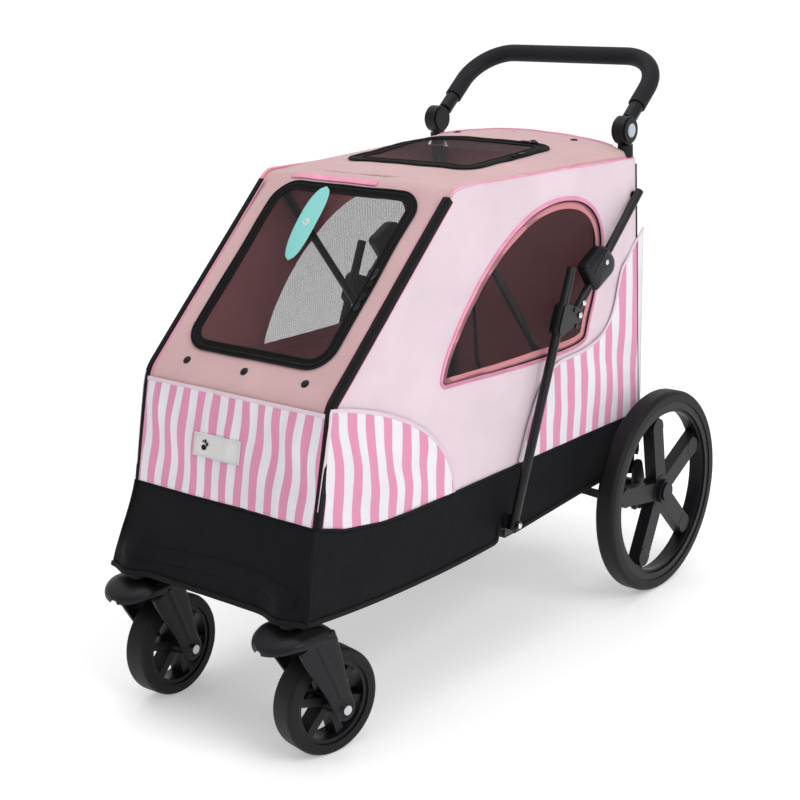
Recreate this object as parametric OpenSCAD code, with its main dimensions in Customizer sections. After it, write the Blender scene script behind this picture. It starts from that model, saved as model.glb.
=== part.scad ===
// Folding pet stroller for a dog: a steel tube frame with a fabric cabin,
// two swivel casters in front, two large wheels behind and a tilting handlebar.
// +Z is up and -Y is the front, so +X is the left of the person who pushes.
// The origin is on the floor under the middle of the stroller.

/* [Rear wheels] */
// Radius of a rear wheel over its tyre
rear_wheel_r = 190; // [186:1:190]
// Width of a rear tyre
rear_tyre_w = 38; // [34:1:40]
// Distance between the middle planes of the rear wheels
rear_track = 526; // [524:1:534]
// Number of spokes in a rear wheel
rear_spokes = 5; // [4:1:6]

/* [Casters] */
// Radius of a caster wheel over its tyre
caster_wheel_r = 85.5; // [80:0.5:86]
// Width of a caster tyre
caster_tyre_w = 44; // [36:1:46]
// Distance between the two swivel axes
caster_track = 327; // [320:1:330]
// How far a caster wheel trails behind its swivel axis
caster_trail = 58.5; // [50:0.5:60]
// Swivel of the left caster at rest, seen from above
left_caster_yaw = -10.6; // [-20:0.2:20]
// Swivel of the right caster at rest, seen from above
right_caster_yaw = 2.2; // [-20:0.2:20]

/* [Frame] */
// Diameter of the rails and the rear posts
tube_d = 22; // [20:0.5:22]
// Diameter of the folding braces
brace_d = 16; // [14:0.5:16]
// Diameter of the canopy bow
bow_d = 14; // [10:0.5:14]
// Wall of every steel tube
tube_wall = 1.5; // [1:0.1:2]
// Height of the base rails' centrelines
rail_z = 238; // [237:0.5:239]

/* [Handlebar] */
// Diameter of the foam grip
grip_d = 32; // [28:1:32]
// Distance from the tilt axis to the top bar
handle_reach = 183; // [160:1:183]
// Slope of the handlebar above the horizontal at rest
handle_slope = 38.7; // [20:0.1:60]
// Bend radius of the handlebar's corners
handle_bend_r = 80; // [60:1:90]

/* [Cabin] */
// Thickness of the fabric panels
fabric_t = 2.5; // [1.5:0.1:2.5]
// Half-width of the cabin at its front corners
cabin_front_x = 193.5; // [190:0.5:194]
// Half-width of the cabin at its rear corners
cabin_rear_x = 216; // [212:0.5:216]
// Height of the seam between the skirt and the panels
seam_z = 334; // [330:1:340]
// Thickness of the floor cushion
cushion_t = 20; // [15:1:20]

/* [Hidden] */
$fn = 64;

// Joint centres, each as [y, z] in the side view
post_pivot = [372, 230];       // rear post on the axle bracket
handle_pivot = [341, 860];     // handlebar on the top of the post
brace_top = [346.6, 746];      // upper brace against the post
elbow = [144, 571];            // upper brace on the lower brace
brace_foot = [-39, 247];       // lower brace on its mount
bow_pivot = [306, 235];        // canopy bow on the axle bracket
bow_top = [-135, 813];         // canopy bow's cross tube
axle = [383, rear_wheel_r];    // rear wheels
brake_pivot = [366, 160];      // brake bar

// Lines of the cabin in the side view, each as [y, z]
front_foot = [-532, 241];      // bottom edge of the front skirt
front_seam = [-485, 371];      // top edge of the front skirt
front_bend = [-445, 547];      // where the front turns into the slope
roof_front = [-144, 826];      // top edge of the slope
roof_rear = [328, 812];        // rear end of the roof's side edges
roof_crown_z = 852;            // top of the roof's arch at the rear

fit = 0.05;                    // radial clearance of a running fit
gap = 0.5;                     // space between two parts that pass each other
swivel = [caster_track / 2, -519];
rail_x = caster_track / 2;
post_x = 208;
brace_x = 231;
stay_x = 188;
handle_x = 203;
board_z = rail_z + tube_d / 2;
board_t = 8;
cushion_z = board_z + board_t;
latch_at = 101;                // latch centre, along the upper brace from the elbow

// Angles in the side view, measured from +Y towards +Z
function slope(a, b) = atan2(b[1] - a[1], b[0] - a[0]);
function along(a, angle, d) = a + d * [cos(angle), sin(angle)];
function bezier(a, b, c, d, n = 12) =
    [for (i = [0:n]) let (t = i / n, u = 1 - t)
        u * u * u * a + 3 * u * u * t * b + 3 * u * t * t * c + t * t * t * d];
function cabin_x(y) = cabin_front_x
    + (cabin_rear_x - cabin_front_x) * (y - front_seam[0]) / (350 - front_seam[0]);

// The right-hand copy of a left-hand part
module right() mirror([1, 0, 0]) children();

// A [y, z] outline turned into a plate that spans x0 to x1
module plate(x0, x1)
    translate([x0, 0, 0]) rotate([90, 0, 90]) linear_extrude(height = x1 - x0) children();

// A round bar along X
module cross_bar(p, d, x0, x1)
    translate([x0, p[0], p[1]]) rotate([0, 90, 0]) cylinder(d = d, h = x1 - x0);

// Moves a part drawn along +Z onto the line from a towards b in the side view
module on_line(x, a, b)
    translate([x, a[0], a[1]]) rotate([slope(a, b) - 90, 0, 0]) children();

module tube(d, h, wall = tube_wall) difference() {
    cylinder(d = d, h = h);
    translate([0, 0, -1]) cylinder(d = d - 2 * wall, h = h + 2);
}

module disc2d(p, r) translate(p) circle(r);

// ---- Base frame ----

module base_rail() color("#1b1c1f") difference() {
    translate([rail_x, swivel[1], rail_z]) rotate([-90, 0, 0]) tube(tube_d, 352 - swivel[1]);
    translate([swivel[0], swivel[1], rail_z - 20]) cylinder(r = 17, h = 40);
}

module cross_tubes() color("#1b1c1f") {
    cross_y = [swivel[1], -300, -39, 190, 335];
    for (y = cross_y) difference() {
        cross_bar([y, rail_z], 18, -rail_x + 5, rail_x - 5);
        cross_bar([y, rail_z], 15, -rail_x, rail_x);
        for (s = [-1, 1]) {
            translate([s * rail_x, swivel[1], rail_z]) rotate([-90, 0, 0])
                cylinder(d = tube_d, h = 900);
            translate([s * swivel[0], swivel[1], rail_z - 20]) cylinder(r = 17, h = 40);
        }
    }
}

// Round housings that hold the casters' stems
module caster_sockets() color("#222327") for (s = [-1, 1])
    translate([s * swivel[0], swivel[1], 0]) difference() {
        translate([0, 0, 232]) cylinder(r = 17, h = board_z - 232);
        translate([0, 0, 231]) cylinder(r = 8 + fit, h = board_z - 231 - 3);
    }

module rear_axle() color("#8c8f94") cross_bar(axle, 12, -279, 279);

// Two plates that carry the post, the axle, the canopy bow and the brake bar
module axle_bracket() color("#222327") difference() {
    union() {
        plate(174, 180) {
            hull() {
                disc2d(post_pivot, 16);
                disc2d(axle, 16);
                disc2d(brake_pivot, 12);
            }
            hull() {
                disc2d(post_pivot, 14);
                disc2d(bow_pivot, 12);
            }
            hull() {
                disc2d(brake_pivot, 9);
                disc2d([206, rail_z - 4], 6);
            }
        }
        plate(224, 229) hull() {
            disc2d(post_pivot, 16);
            disc2d(axle, 16);
            disc2d(brake_pivot, 12);
        }
        cross_bar(axle, 24, 180, 224);
        cross_bar(post_pivot, 10, 180, 226);
        cross_bar(bow_pivot, 6, 180, 196);
    }
    cross_bar(axle, 12 + 2 * fit, 170, 240);
    cross_bar(brake_pivot, 10 + 2 * fit, 170, 240);
    translate([rail_x, 100, rail_z]) rotate([-90, 0, 0]) cylinder(d = tube_d, h = 252);
}

// Arms on the rails that carry the feet of the lower braces
module brace_mount() color("#222327") difference() {
    union() {
        translate([rail_x, brace_foot[0] - 12, rail_z - 14]) cube([221 - rail_x, 24, 22]);
        plate(214, brace_x - brace_d / 2 - gap) disc2d(brace_foot, 15);
        cross_bar(brace_foot, 8, 214, 240);
        cross_bar(brace_foot, 15, 239.5, 243);
    }
    translate([rail_x, -200, rail_z]) rotate([-90, 0, 0]) cylinder(d = tube_d, h = 400);
}

module brace_mounts() {
    brace_mount();
    right() brace_mount();
}

module floor_board() color("#3a3a3c")
    translate([-178, -470, board_z]) cube([356, 810, board_t]);

module floor_cushion() color("#26272c")
    translate([-172, -462, cushion_z]) cube([344, 790, cushion_t]);

// ---- Fabric cabin ----

// A wall that follows the slant of the cabin's side, with its outer face out by a given distance
module side_wall(out, t) intersection() {
    linear_extrude(height = 900) polygon([
        [cabin_x(-560) + out, -560], [cabin_x(400) + out, 400],
        [cabin_x(400) + out - t, 400], [cabin_x(-560) + out - t, -560]
    ]);
    plate(100, 300) children();
}

// A wall across the cabin between two levels, its outer face on the line from a to b
module cross_wall(a, b, half_a, half_b, out, t) {
    on_line(0, a, b) translate([0, t - out, 0]) rotate([90, 0, 0])
        linear_extrude(height = t) polygon([
            [-half_a, 0], [half_a, 0], [half_b, norm(b - a)], [-half_b, norm(b - a)]
        ]);
}

// The rear post's front side, where the side panels end
function post_front(z) = post_pivot[0] - (z - post_pivot[1])
    * (post_pivot[0] - handle_pivot[0]) / (handle_pivot[1] - post_pivot[1]) - tube_d / 2 - gap;

module seam_line_panel() polygon([
    front_seam, [-427, 352], [-346, 339], [-280, seam_z], [post_front(seam_z), seam_z],
    [post_front(roof_rear[1]), roof_rear[1]], roof_front + [2, -2], front_bend
]);

module window_outline() polygon(concat(
    bezier([-190, 525], [-170, 600], [-20, 764], [130, 766]),
    bezier([130, 766], [200, 766], [268, 740], [260, 655]),
    bezier([260, 655], [254, 610], [226, 560], [212, 518]),
    bezier([212, 518], [208, 500], [120, 502], [60, 504]),
    bezier([60, 504], [-40, 508], [-120, 513], [-184, 516])
));

module side_panel() color("#ead9e2") side_wall(0, fabric_t) difference() {
    seam_line_panel();
    window_outline();
}

module window_mesh() color("#6f6f74") side_wall(-0.6, 1) window_outline();

module front_pocket_outline() intersection() {
    seam_line_panel();
    polygon(concat(
        bezier([-464, 549], [-360, 525], [-170, 470], [-166, 300]),
        [[-560, 300], [-560, 549]]
    ));
}

module rear_pocket_outline() intersection() {
    seam_line_panel();
    polygon(concat(
        bezier([6, 330], [40, 400], [60, 492], [150, 492]),
        bezier([150, 492], [240, 494], [290, 515], [305, 570]),
        bezier([305, 570], [318, 630], [335, 645], [400, 690]),
        [[400, 330]]
    ));
}

module side_pocket() color("#e59ac0") side_wall(3, 3) children();

module side_skirt() color("#1d1e24") intersection() {
    linear_extrude(height = 900) polygon([
        [204, -560], [217, 360], [217 - fabric_t, 360], [204 - fabric_t, -560]
    ]);
    plate(100, 300) difference() {
        polygon(concat(
            [front_seam, front_foot + [1, -2]],
            bezier([-522, 237], [-380, 217], [-150, 208], [5, 220]),
            [[204, 230], [352, 232], [352, seam_z - gap], [-280, seam_z - gap],
             [-346, 338.5], [-427, 351.5]]
        ));
        translate([brace_foot[0] - 14, 180]) square([28, 68]);
    }
}

module front_skirt() color("#1d1e24") difference() {
    cross_wall(front_foot, front_seam, 200, 192, 0, fabric_t);
    for (s = [-1, 1])
        translate([s * swivel[0], swivel[1], 200]) cylinder(r = 17 + gap, h = 70);
}

// A wall parallel to the plane of the rear posts, with its outer face behind it by back
module rear_wall(x, z0, z1, back, t)
    on_line(0, post_pivot, handle_pivot) translate([-x, back - t, z0 - post_pivot[1]])
        cube([2 * x, t, z1 - z0]);

module rear_skirt() color("#1d1e24") rear_wall(172, 251, seam_z - 1, 2, fabric_t);

module rear_panel() color("#d9a9ae") difference() {
    rear_wall(194, seam_z, 805, 2, fabric_t);
    rear_wall(145, 352, 740, 10, 20);
}

module front_panel() color("#dba9a9") {
    cross_wall(front_seam, front_bend, 190.5, 191, 0, fabric_t);
    difference() {
        cross_wall(front_bend, roof_front, 191, 199, 0, fabric_t);
        on_line(0, front_bend, roof_front) rotate([90, 0, 0])
            linear_extrude(height = 20, center = true) window_flap_outline(-8);
    }
}

// Outline of the front window in its own plane, seen from outside: x across, y up the slope
module window_flap_outline(grow) {
    r = 45 + grow;
    half = 150 + grow;
    low = 52 - grow;
    high = 392 + grow;
    translate([-half + r, low]) square([2 * half - 2 * r, high - low]);
    translate([-half, low + r]) square([2 * half, high - low - 2 * r]);
    for (s = [-1, 1]) for (y = [low + r, high - r]) translate([s * (half - r), y]) circle(r);
}

// The roof as a solid block, flat in front and arched behind, raised by a given height
module roof_block(lift) translate([0, 0, lift]) hull() {
    translate([0, roof_front[0] + 3, 0]) rotate([90, 0, 0]) linear_extrude(height = 1)
        polygon([[-199, 700], [199, 700], [199, 822], [120, 826], [-120, 826], [-199, 822]]);
    translate([0, roof_rear[0], 0]) rotate([90, 0, 0]) linear_extrude(height = 1)
        polygon(concat([[-212, 700], [212, 700]],
            [for (i = [0:10]) let (a = -90 + 18 * i)
                [-212 * sin(a), 812 + (roof_crown_z - 812) * pow(cos(a), 0.7)]]));
}

module roof_shell(lift, t) difference() {
    roof_block(lift);
    roof_block(lift - t);
}

module roof_panel() color("#dcb1b1") difference() {
    intersection() {
        roof_shell(0, fabric_t);
        translate([-230, -200, 812.2]) cube([460, 600, 100]);
    }
    translate([-125, -15, 800]) cube([250, 230, 100]);
}

module front_pocket() color("#e59ac0")
    cross_wall(front_seam + [0.5, 2], along(front_seam, slope(front_seam, front_bend), 172),
        185, 182, 3.2, 3);

// ---- Rear posts and handlebar ----

module post() color("#1b1c1f") difference() {
    union() {
        on_line(post_x, post_pivot, handle_pivot) translate([0, 0, -12])
            cylinder(d = tube_d, h = 12 + norm(handle_pivot - post_pivot) - 28);
        cross_bar(brace_top, 14, post_x, brace_x - brace_d / 2 - gap);
    }
    on_line(post_x, post_pivot, handle_pivot) translate([0, 0, 14])
        cylinder(d = tube_d - 2 * tube_wall, h = 470);
    cross_bar(post_pivot, 10 + 2 * fit, 180, 240);
}

joint_r = 24.5;
joint_mid_x = 207;

// Lower half of a tilt joint: an inner disc with a neck that holds the post's top
module handle_socket() color("#1a1a1c") difference() {
    union() {
        cross_bar(handle_pivot, 2 * joint_r - 6, 193, 196);
        cross_bar(handle_pivot, 2 * joint_r, 196, joint_mid_x - 0.2);
        cross_bar(handle_pivot, 10, 200, 213);
        on_line(post_x, handle_pivot, post_pivot) difference() {
            cylinder(r = 13.5, h = joint_r + 22);
            translate([joint_mid_x - 0.2 - post_x, -20, -1]) cube([40, 40, joint_r + 2]);
        }
    }
    on_line(post_x, handle_pivot, post_pivot) translate([0, 0, 28])
        cylinder(d = tube_d, h = 60);
}

module handle_sockets() {
    handle_socket();
    right() handle_socket();
}

// Lays a part drawn in the XY plane, with +Y up the handle, onto the handlebar's slope
module on_handle() translate([0, handle_pivot[0], handle_pivot[1]])
    rotate([handle_slope, 0, 0]) children();

// Half of the bent bar, from its end at start_y round the corner to the middle
module handle_path(d, bore, start_y) {
    corner = handle_reach - handle_bend_r;
    difference() {
        union() {
            translate([handle_x, start_y, 0]) rotate([-90, 0, 0])
                cylinder(d = d, h = corner - start_y);
            translate([handle_x - handle_bend_r, corner, 0]) rotate_extrude(angle = 90)
                translate([handle_bend_r, 0]) circle(d = d);
            translate([0, handle_reach, 0]) rotate([0, 90, 0])
                cylinder(d = d, h = handle_x - handle_bend_r);
        }
        translate([handle_x, start_y - 1, 0]) rotate([-90, 0, 0])
            cylinder(d = bore, h = corner - start_y + 1);
        translate([handle_x - handle_bend_r, corner, 0]) rotate_extrude(angle = 90)
            translate([handle_bend_r, 0]) circle(d = bore);
        translate([-1, handle_reach, 0]) rotate([0, 90, 0])
            cylinder(d = bore, h = handle_x - handle_bend_r + 1);
    }
}

module handlebar_tube() color("#1b1c1f") on_handle() {
    handle_path(20, 17, 30);
    right() handle_path(20, 17, 30);
}

module handle_grip() color("#141416") on_handle() {
    handle_path(grip_d, 20, 60);
    right() handle_path(grip_d, 20, 60);
}

// Upper half of a tilt joint: an outer disc with a neck that holds the bar's end
module handle_hub() color("#1a1a1c") difference() {
    union() {
        cross_bar(handle_pivot, 2 * joint_r, joint_mid_x + 0.2, 218);
        cross_bar(handle_pivot, 2 * joint_r - 6, 218, 221);
        on_handle() difference() {
            translate([handle_x, 0, 0]) rotate([-90, 0, 0]) cylinder(r = 13, h = joint_r + 34);
            translate([joint_mid_x + 0.5 - 40, -1, -20]) cube([40, joint_r + 2, 40]);
        }
    }
    cross_bar(handle_pivot, 10 + 2 * fit, 190, 214);
    cross_bar(handle_pivot, 24 + 2 * fit, 213.5, 230);
    on_handle() translate([handle_x, 30, 0]) rotate([-90, 0, 0]) cylinder(d = 20, h = 60);
}

module handle_hubs() {
    handle_hub();
    right() handle_hub();
}

module handle_button() color("#b9bec4") {
    cross_bar(handle_pivot, 24, 218, 222);
    cross_bar(handle_pivot, 20, 222, 222.6);
}

// ---- Canopy bow ----

module bow_stay() color("#1b1c1f") difference() {
    on_line(stay_x, bow_pivot, bow_top) translate([0, 0, -9])
        cylinder(d = bow_d, h = norm(bow_top - bow_pivot) + 9 - bow_d / 2);
    cross_bar(bow_pivot, 6 + 2 * fit, 170, 210);
    on_line(stay_x, bow_pivot, bow_top) translate([0, 0, 12])
        cylinder(d = bow_d - 2 * tube_wall, h = 900);
}

module roof_bow() color("#1b1c1f") {
    cross_bar(bow_top, bow_d, -stay_x, stay_x);
    for (s = [-1, 1]) translate([s * stay_x, bow_top[0], bow_top[1]]) sphere(d = bow_d);
}

// ---- Folding braces ----

brace_axis_low = [-43, 238];
brace_axis_high = [136, 654];
tube_at_elbow = along(elbow, slope(brace_axis_low, brace_axis_high) + 90, 40.4);

// Straps that hold the elbow pin behind the lower brace's tube
module elbow_strap() hull() {
    disc2d(tube_at_elbow, 10);
    disc2d(along(tube_at_elbow, slope(brace_axis_high, brace_axis_low), 34), 10);
    disc2d(elbow, 12);
}

module lower_brace() color("#1b1c1f") difference() {
    union() {
        on_line(brace_x, brace_axis_low, brace_axis_high)
            cylinder(d = brace_d, h = norm(brace_axis_high - brace_axis_low));
        on_line(brace_x, tube_at_elbow, brace_axis_low) translate([0, 0, -10])
            cylinder(d = 22, h = 54);
        plate(brace_x - 11, brace_x - 8) elbow_strap();
        plate(brace_x + 8, brace_x + 11) elbow_strap();
        cross_bar(elbow, 8, brace_x - 11, brace_x + 13);
        for (p = [elbow, along(elbow, slope(elbow, brace_axis_low), 20), elbow + [-14, 12]])
            cross_bar(p, 9, brace_x + 10, brace_x + 13);
    }
    on_line(brace_x, brace_axis_low, brace_axis_high) translate([0, 0, 24])
        cylinder(d = brace_d - 2 * tube_wall, h = 418);
    cross_bar(brace_foot, 8 + 2 * fit, 200, 260);
}

module upper_brace() color("#1b1c1f") difference() {
    on_line(brace_x, elbow, brace_top) translate([0, 0, -10])
        cylinder(d = brace_d - 0.4, h = norm(brace_top - elbow) + 20);
    on_line(brace_x, elbow, brace_top) translate([0, 0, 12])
        cylinder(d = brace_d - 2 * tube_wall - 0.4, h = norm(brace_top - elbow) - 8);
    cross_bar(elbow, 8 + 2 * fit, 200, 260);
}

// Outline of the latch beside the upper brace: x along the brace, y towards the lower brace
module latch_outline() {
    hull() {
        disc2d([latch_at + 10, 12], 24);
        disc2d([latch_at - 30, 40], 7);
        disc2d([latch_at - 34, -8], 6);
        disc2d([latch_at + 16, -8], 20);
    }
}

module latch_cheek() {
    latch_outline();
    hull() {
        disc2d([latch_at + 22, -18], 15);
        disc2d([latch_at - 20, -12], 10);
        disc2d([latch_at - 44, -14], 3);
    }
}

module on_upper_brace() translate([0, elbow[0], elbow[1]])
    rotate([slope(elbow, brace_top), 0, 0]) children();

module brace_latch() color("#26282b") difference() {
    on_upper_brace() {
        plate(brace_x - 8, brace_x + 9) intersection() {
            latch_outline();
            translate([0, -28]) square([200, 100]);
        }
        plate(brace_x + 9, brace_x + 15) latch_cheek();
    }
    on_line(brace_x, elbow, brace_top) cylinder(d = brace_d + 2 * fit, h = 400);
}

// ---- Casters, drawn round their swivel axis with the wheel behind ----

module on_caster(yaw) translate([swivel[0], swivel[1], 0]) rotate([0, 0, yaw]) children();
caster_axle = [caster_trail, caster_wheel_r];

module caster_fork() color("#17181a") difference() {
    union() {
        translate([0, 0, 200]) cylinder(r = 8, h = board_z - 4 - 200);
        translate([0, 0, 205]) cylinder(r = 16, h = 26.5);
        hull() {
            translate([0, -6, 192]) cylinder(r = 60, h = 5);
            translate([0, 0, 219]) cylinder(r = 30, h = 6.5);
        }
        for (x = [-50, 40]) plate(x, x + 10) {
            hull() {
                disc2d([2, 186], 27);
                disc2d([34, 130], 20);
            }
            hull() {
                disc2d([34, 130], 20);
                disc2d(caster_axle, 15);
            }
        }
    }
    cross_bar(caster_axle, 8 + 2 * fit, -60, 60);
}

module caster_bolt() color("#b9bcc0") {
    cross_bar(caster_axle, 8, -50, 50);
    for (x = [-56, 50]) cross_bar(caster_axle, 15, x, x + 6);
}

// A ring round the X axis: its section is rounded at the outer corners
module tyre(r, w, inner, round_r) rotate([0, 90, 0]) rotate_extrude($fn = 96) {
    translate([inner, -w / 2]) square([r - round_r - inner, w]);
    translate([inner, -w / 2 + round_r]) square([r - inner, w - 2 * round_r]);
    for (s = [-1, 1]) translate([r - round_r, s * (w / 2 - round_r)]) circle(round_r);
}

module on_caster_axle() translate([0, caster_axle[0], caster_axle[1]]) children();

module caster_rim() color("#1f2023") on_caster_axle() difference() {
    union() {
        rotate([0, 90, 0]) rotate_extrude($fn = 96) translate([60, -19]) square([7.5, 38]);
        rotate([0, 90, 0]) cylinder(r = 15.5, h = 76, center = true);
        for (i = [0:5]) rotate([60 * i + 15, 0, 0])
            translate([-14, -7, 13]) cube([28, 14, 50]);
    }
    cross_bar([0, 0], 8 + 2 * fit, -60, 60);
}

module caster_tyre() color("#151517") on_caster_axle()
    tyre(caster_wheel_r, caster_tyre_w, 67.5, 7);

// ---- Rear wheels, drawn round the X axis with the outer face towards +X ----

module on_rear_axle() translate([rear_track / 2, axle[0], axle[1]]) children();

module rear_rim() color("#1c1d1f") on_rear_axle() difference() {
    union() {
        rotate([0, 90, 0]) rotate_extrude($fn = 120) {
            translate([156, -17]) square([13.5, 34]);
            translate([150, 4]) square([8, 9]);
        }
        translate([-21, 0, 0]) rotate([0, 90, 0]) cylinder(r = 22, h = 40);
        translate([-15, 0, 0]) rotate([0, 90, 0]) cylinder(r = 31, h = 26.5);
        translate([19, 0, 0]) rotate([0, 90, 0]) cylinder(r = 17, h = 5);
        for (i = [0:rear_spokes - 1]) rotate([360 / rear_spokes * i + 8, 0, 0]) {
            translate([-14, -15, 12]) cube([19, 30, 148]);
            translate([3, -17, 12]) cube([7.5, 34, 114]);
            translate([3, 0, 128]) rotate([0, 90, 0]) cylinder(r = 18, h = 8);
        }
    }
    translate([-22, 0, 0]) rotate([0, 90, 0]) cylinder(r = 6 + fit, h = 40);
}

module rear_tyre() color("#17171a") on_rear_axle()
    tyre(rear_wheel_r, rear_tyre_w, 169.5, 9);

// Foot pedal in the middle of a bar that turns two pawls towards the wheel hubs
module brake_bar() color("#2a2b2e") {
    cross_bar(brake_pivot, 10, -238, 238);
    for (s = [-1, 1]) translate([s * 234.5, 0, 0]) plate(-3.5, 3.5) hull() {
        disc2d(brake_pivot, 8);
        disc2d(brake_pivot + [-16, 24], 5);
    }
    plate(-45, 45) hull() {
        disc2d(brake_pivot, 8);
        disc2d(brake_pivot + [62, -10], 4);
    }
}

// ---- Doors and windows that open ----

module front_window() color("#5b5658") on_line(0, front_bend, roof_front)
    translate([0, -0.6, 0]) rotate([90, 0, 0]) linear_extrude(height = 2) window_flap_outline(0);

module skylight() color("#3c3a3d") intersection() {
    roof_shell(2.6, 2);
    translate([-135, -25, 800]) cube([270, 250, 100]);
}

module rear_door() color("#8f4f57") rear_wall(152, 345, 747, 4.6, 2);

base_rail();  // left_base_rail
right() base_rail();  // right_base_rail
cross_tubes();
caster_sockets();
rear_axle();
axle_bracket();  // left_axle_bracket
right() axle_bracket();  // right_axle_bracket
brace_mounts();
floor_board();
floor_cushion();
front_skirt();
side_skirt();  // left_skirt
right() side_skirt();  // right_skirt
rear_skirt();
side_panel();  // left_side_panel
right() side_panel();  // right_side_panel
front_panel();
rear_panel();
roof_panel();
window_mesh();  // left_window_mesh
right() window_mesh();  // right_window_mesh
front_pocket();
side_pocket() front_pocket_outline();  // left_front_pocket
right() side_pocket() front_pocket_outline();  // right_front_pocket
side_pocket() rear_pocket_outline();  // left_rear_pocket
right() side_pocket() rear_pocket_outline();  // right_rear_pocket
post();  // left_post
right() post();  // right_post
handle_sockets();
handlebar_tube();
handle_grip();
handle_hubs();
handle_button();  // left_handle_button
right() handle_button();  // right_handle_button
bow_stay();  // left_bow_stay
right() bow_stay();  // right_bow_stay
roof_bow();
lower_brace();  // left_lower_brace
right() lower_brace();  // right_lower_brace
upper_brace();  // left_upper_brace
right() upper_brace();  // right_upper_brace
brace_latch();  // left_brace_latch
right() brace_latch();  // right_brace_latch
on_caster(left_caster_yaw) caster_fork();  // left_caster_fork
right() on_caster(-right_caster_yaw) caster_fork();  // right_caster_fork
on_caster(left_caster_yaw) caster_bolt();  // left_caster_bolt
right() on_caster(-right_caster_yaw) caster_bolt();  // right_caster_bolt
on_caster(left_caster_yaw) caster_rim();  // left_caster_rim
right() on_caster(-right_caster_yaw) caster_rim();  // right_caster_rim
on_caster(left_caster_yaw) caster_tyre();  // left_caster_tyre
right() on_caster(-right_caster_yaw) caster_tyre();  // right_caster_tyre
rear_rim();  // left_rear_rim
right() rear_rim();  // right_rear_rim
rear_tyre();  // left_rear_tyre
right() rear_tyre();  // right_rear_tyre
brake_bar();
front_window();
skylight();
rear_door();
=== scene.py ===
"""Looks of the folding pet stroller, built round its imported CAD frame.

Every size and place is in millimetres in the row frame, +Z up and -Y the front, until a
mesh is made from it. +X is the pusher's left; a piece made for both sides takes side = 1
for the left and side = -1 for the right.
"""

import math

import bmesh
import bpy
import numpy as np
from mathutils import Matrix, Vector


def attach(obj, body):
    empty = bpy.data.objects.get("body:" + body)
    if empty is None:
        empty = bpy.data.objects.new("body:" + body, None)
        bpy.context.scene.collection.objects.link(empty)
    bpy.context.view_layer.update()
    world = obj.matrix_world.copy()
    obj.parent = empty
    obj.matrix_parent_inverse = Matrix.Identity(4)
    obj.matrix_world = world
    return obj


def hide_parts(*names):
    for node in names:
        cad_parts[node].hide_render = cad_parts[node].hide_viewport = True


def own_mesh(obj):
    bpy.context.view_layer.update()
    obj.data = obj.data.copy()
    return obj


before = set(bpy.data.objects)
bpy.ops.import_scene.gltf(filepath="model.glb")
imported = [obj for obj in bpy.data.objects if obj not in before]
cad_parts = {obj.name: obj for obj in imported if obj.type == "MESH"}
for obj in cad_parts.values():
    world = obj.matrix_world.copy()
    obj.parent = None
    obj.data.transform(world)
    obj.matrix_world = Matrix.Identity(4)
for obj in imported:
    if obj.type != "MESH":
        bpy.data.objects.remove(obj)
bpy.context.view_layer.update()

MM = 0.001
SIDES = {"left": 1, "right": -1}

# The frame's places, as part.scad gives them: [Y, Z] in the side view
POST_FOOT = np.array([372.0, 230.0])
FRONT_FOOT = np.array([-532.0, 241.0])
FRONT_SEAM = np.array([-485.0, 371.0])
FRONT_BEND = np.array([-445.0, 547.0])
ROOF_FRONT = np.array([-144.0, 826.0])
ROOF_REAR = np.array([328.0, 812.0])
BRACE_FOOT = np.array([-39.0, 247.0])
ELBOW = np.array([144.0, 571.0])
BRACE_TOP = np.array([346.6, 746.0])
SWIVEL = np.array([163.5, -519.0])
SEAM_Z = 334
CROWN = 40
CABIN_MIDDLE = np.array([0.0, 0.0, 520.0])


# ---- Shapes ----

def smooth(t):
    """0 below 0, 1 above 1, and three squares less two cubes between them."""
    t = np.clip(t, 0, 1)
    return t * t * (3 - 2 * t)


def bezier(a, b, c, d, count=24):
    """Points on the cubic curve from a to d that leaves towards b and arrives from c."""
    t = np.linspace(0, 1, count)[:, None]
    a, b, c, d = (np.array(p, float) for p in (a, b, c, d))
    return (1 - t) ** 3 * a + 3 * (1 - t) ** 2 * t * b + 3 * (1 - t) * t * t * c + t ** 3 * d


def arc_length(path):
    """Distance along a path at each of its points."""
    steps = np.linalg.norm(np.diff(path, axis=0), axis=1)
    return np.concatenate([[0], np.cumsum(steps)])


def resample(path, spacing, closed=False):
    """The path again with points at an even distance, near the given spacing."""
    path = np.array(path, float)
    if closed:
        path = np.vstack([path, path[:1]])
    s = arc_length(path)
    count = max(int(round(s[-1] / spacing)), 3)
    at = np.linspace(0, s[-1], count + 1)
    even = np.stack([np.interp(at, s, path[:, k]) for k in range(path.shape[1])], 1)
    return even[:-1] if closed else even


def rounded(path, reach, closed=False, spacing=3.0):
    """The path with its corners rounded: each point becomes the mean of the points within reach of it
    along the path, weighted by a raised cosine, and the ends of an open path stay."""
    even = resample(path, spacing, closed)
    half = max(int(reach / spacing), 1)
    weights = 1 + np.cos(np.linspace(-math.pi, math.pi, 2 * half + 1))
    weights /= weights.sum()
    if closed:
        padded = np.vstack([even[-half:], even, even[:half]])
    else:
        before = 2 * even[0] - even[half:0:-1]
        after = 2 * even[-1] - even[-2:-half - 2:-1]
        padded = np.vstack([before, even, after])
    return np.stack([np.convolve(padded[:, k], weights, "valid") for k in range(even.shape[1])], 1)


def stadium(half_width, low, high, corner, spacing=6.0):
    """A rectangle with round corners, as a closed path that starts at the middle of its lower side."""
    turns = []
    for cx, cy, first in ((1, low, -90), (1, high, 0), (-1, high, 90), (-1, low, 180)):
        angle = np.radians(np.linspace(first, first + 90, 12))
        middle = [cx * (half_width - corner), cy + (corner if cy == low else -corner)]
        turns.append(np.array(middle) + corner * np.stack([np.cos(angle), np.sin(angle)], 1))
    return resample(np.vstack([[[0, low]], *turns]), spacing, closed=True)


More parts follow.
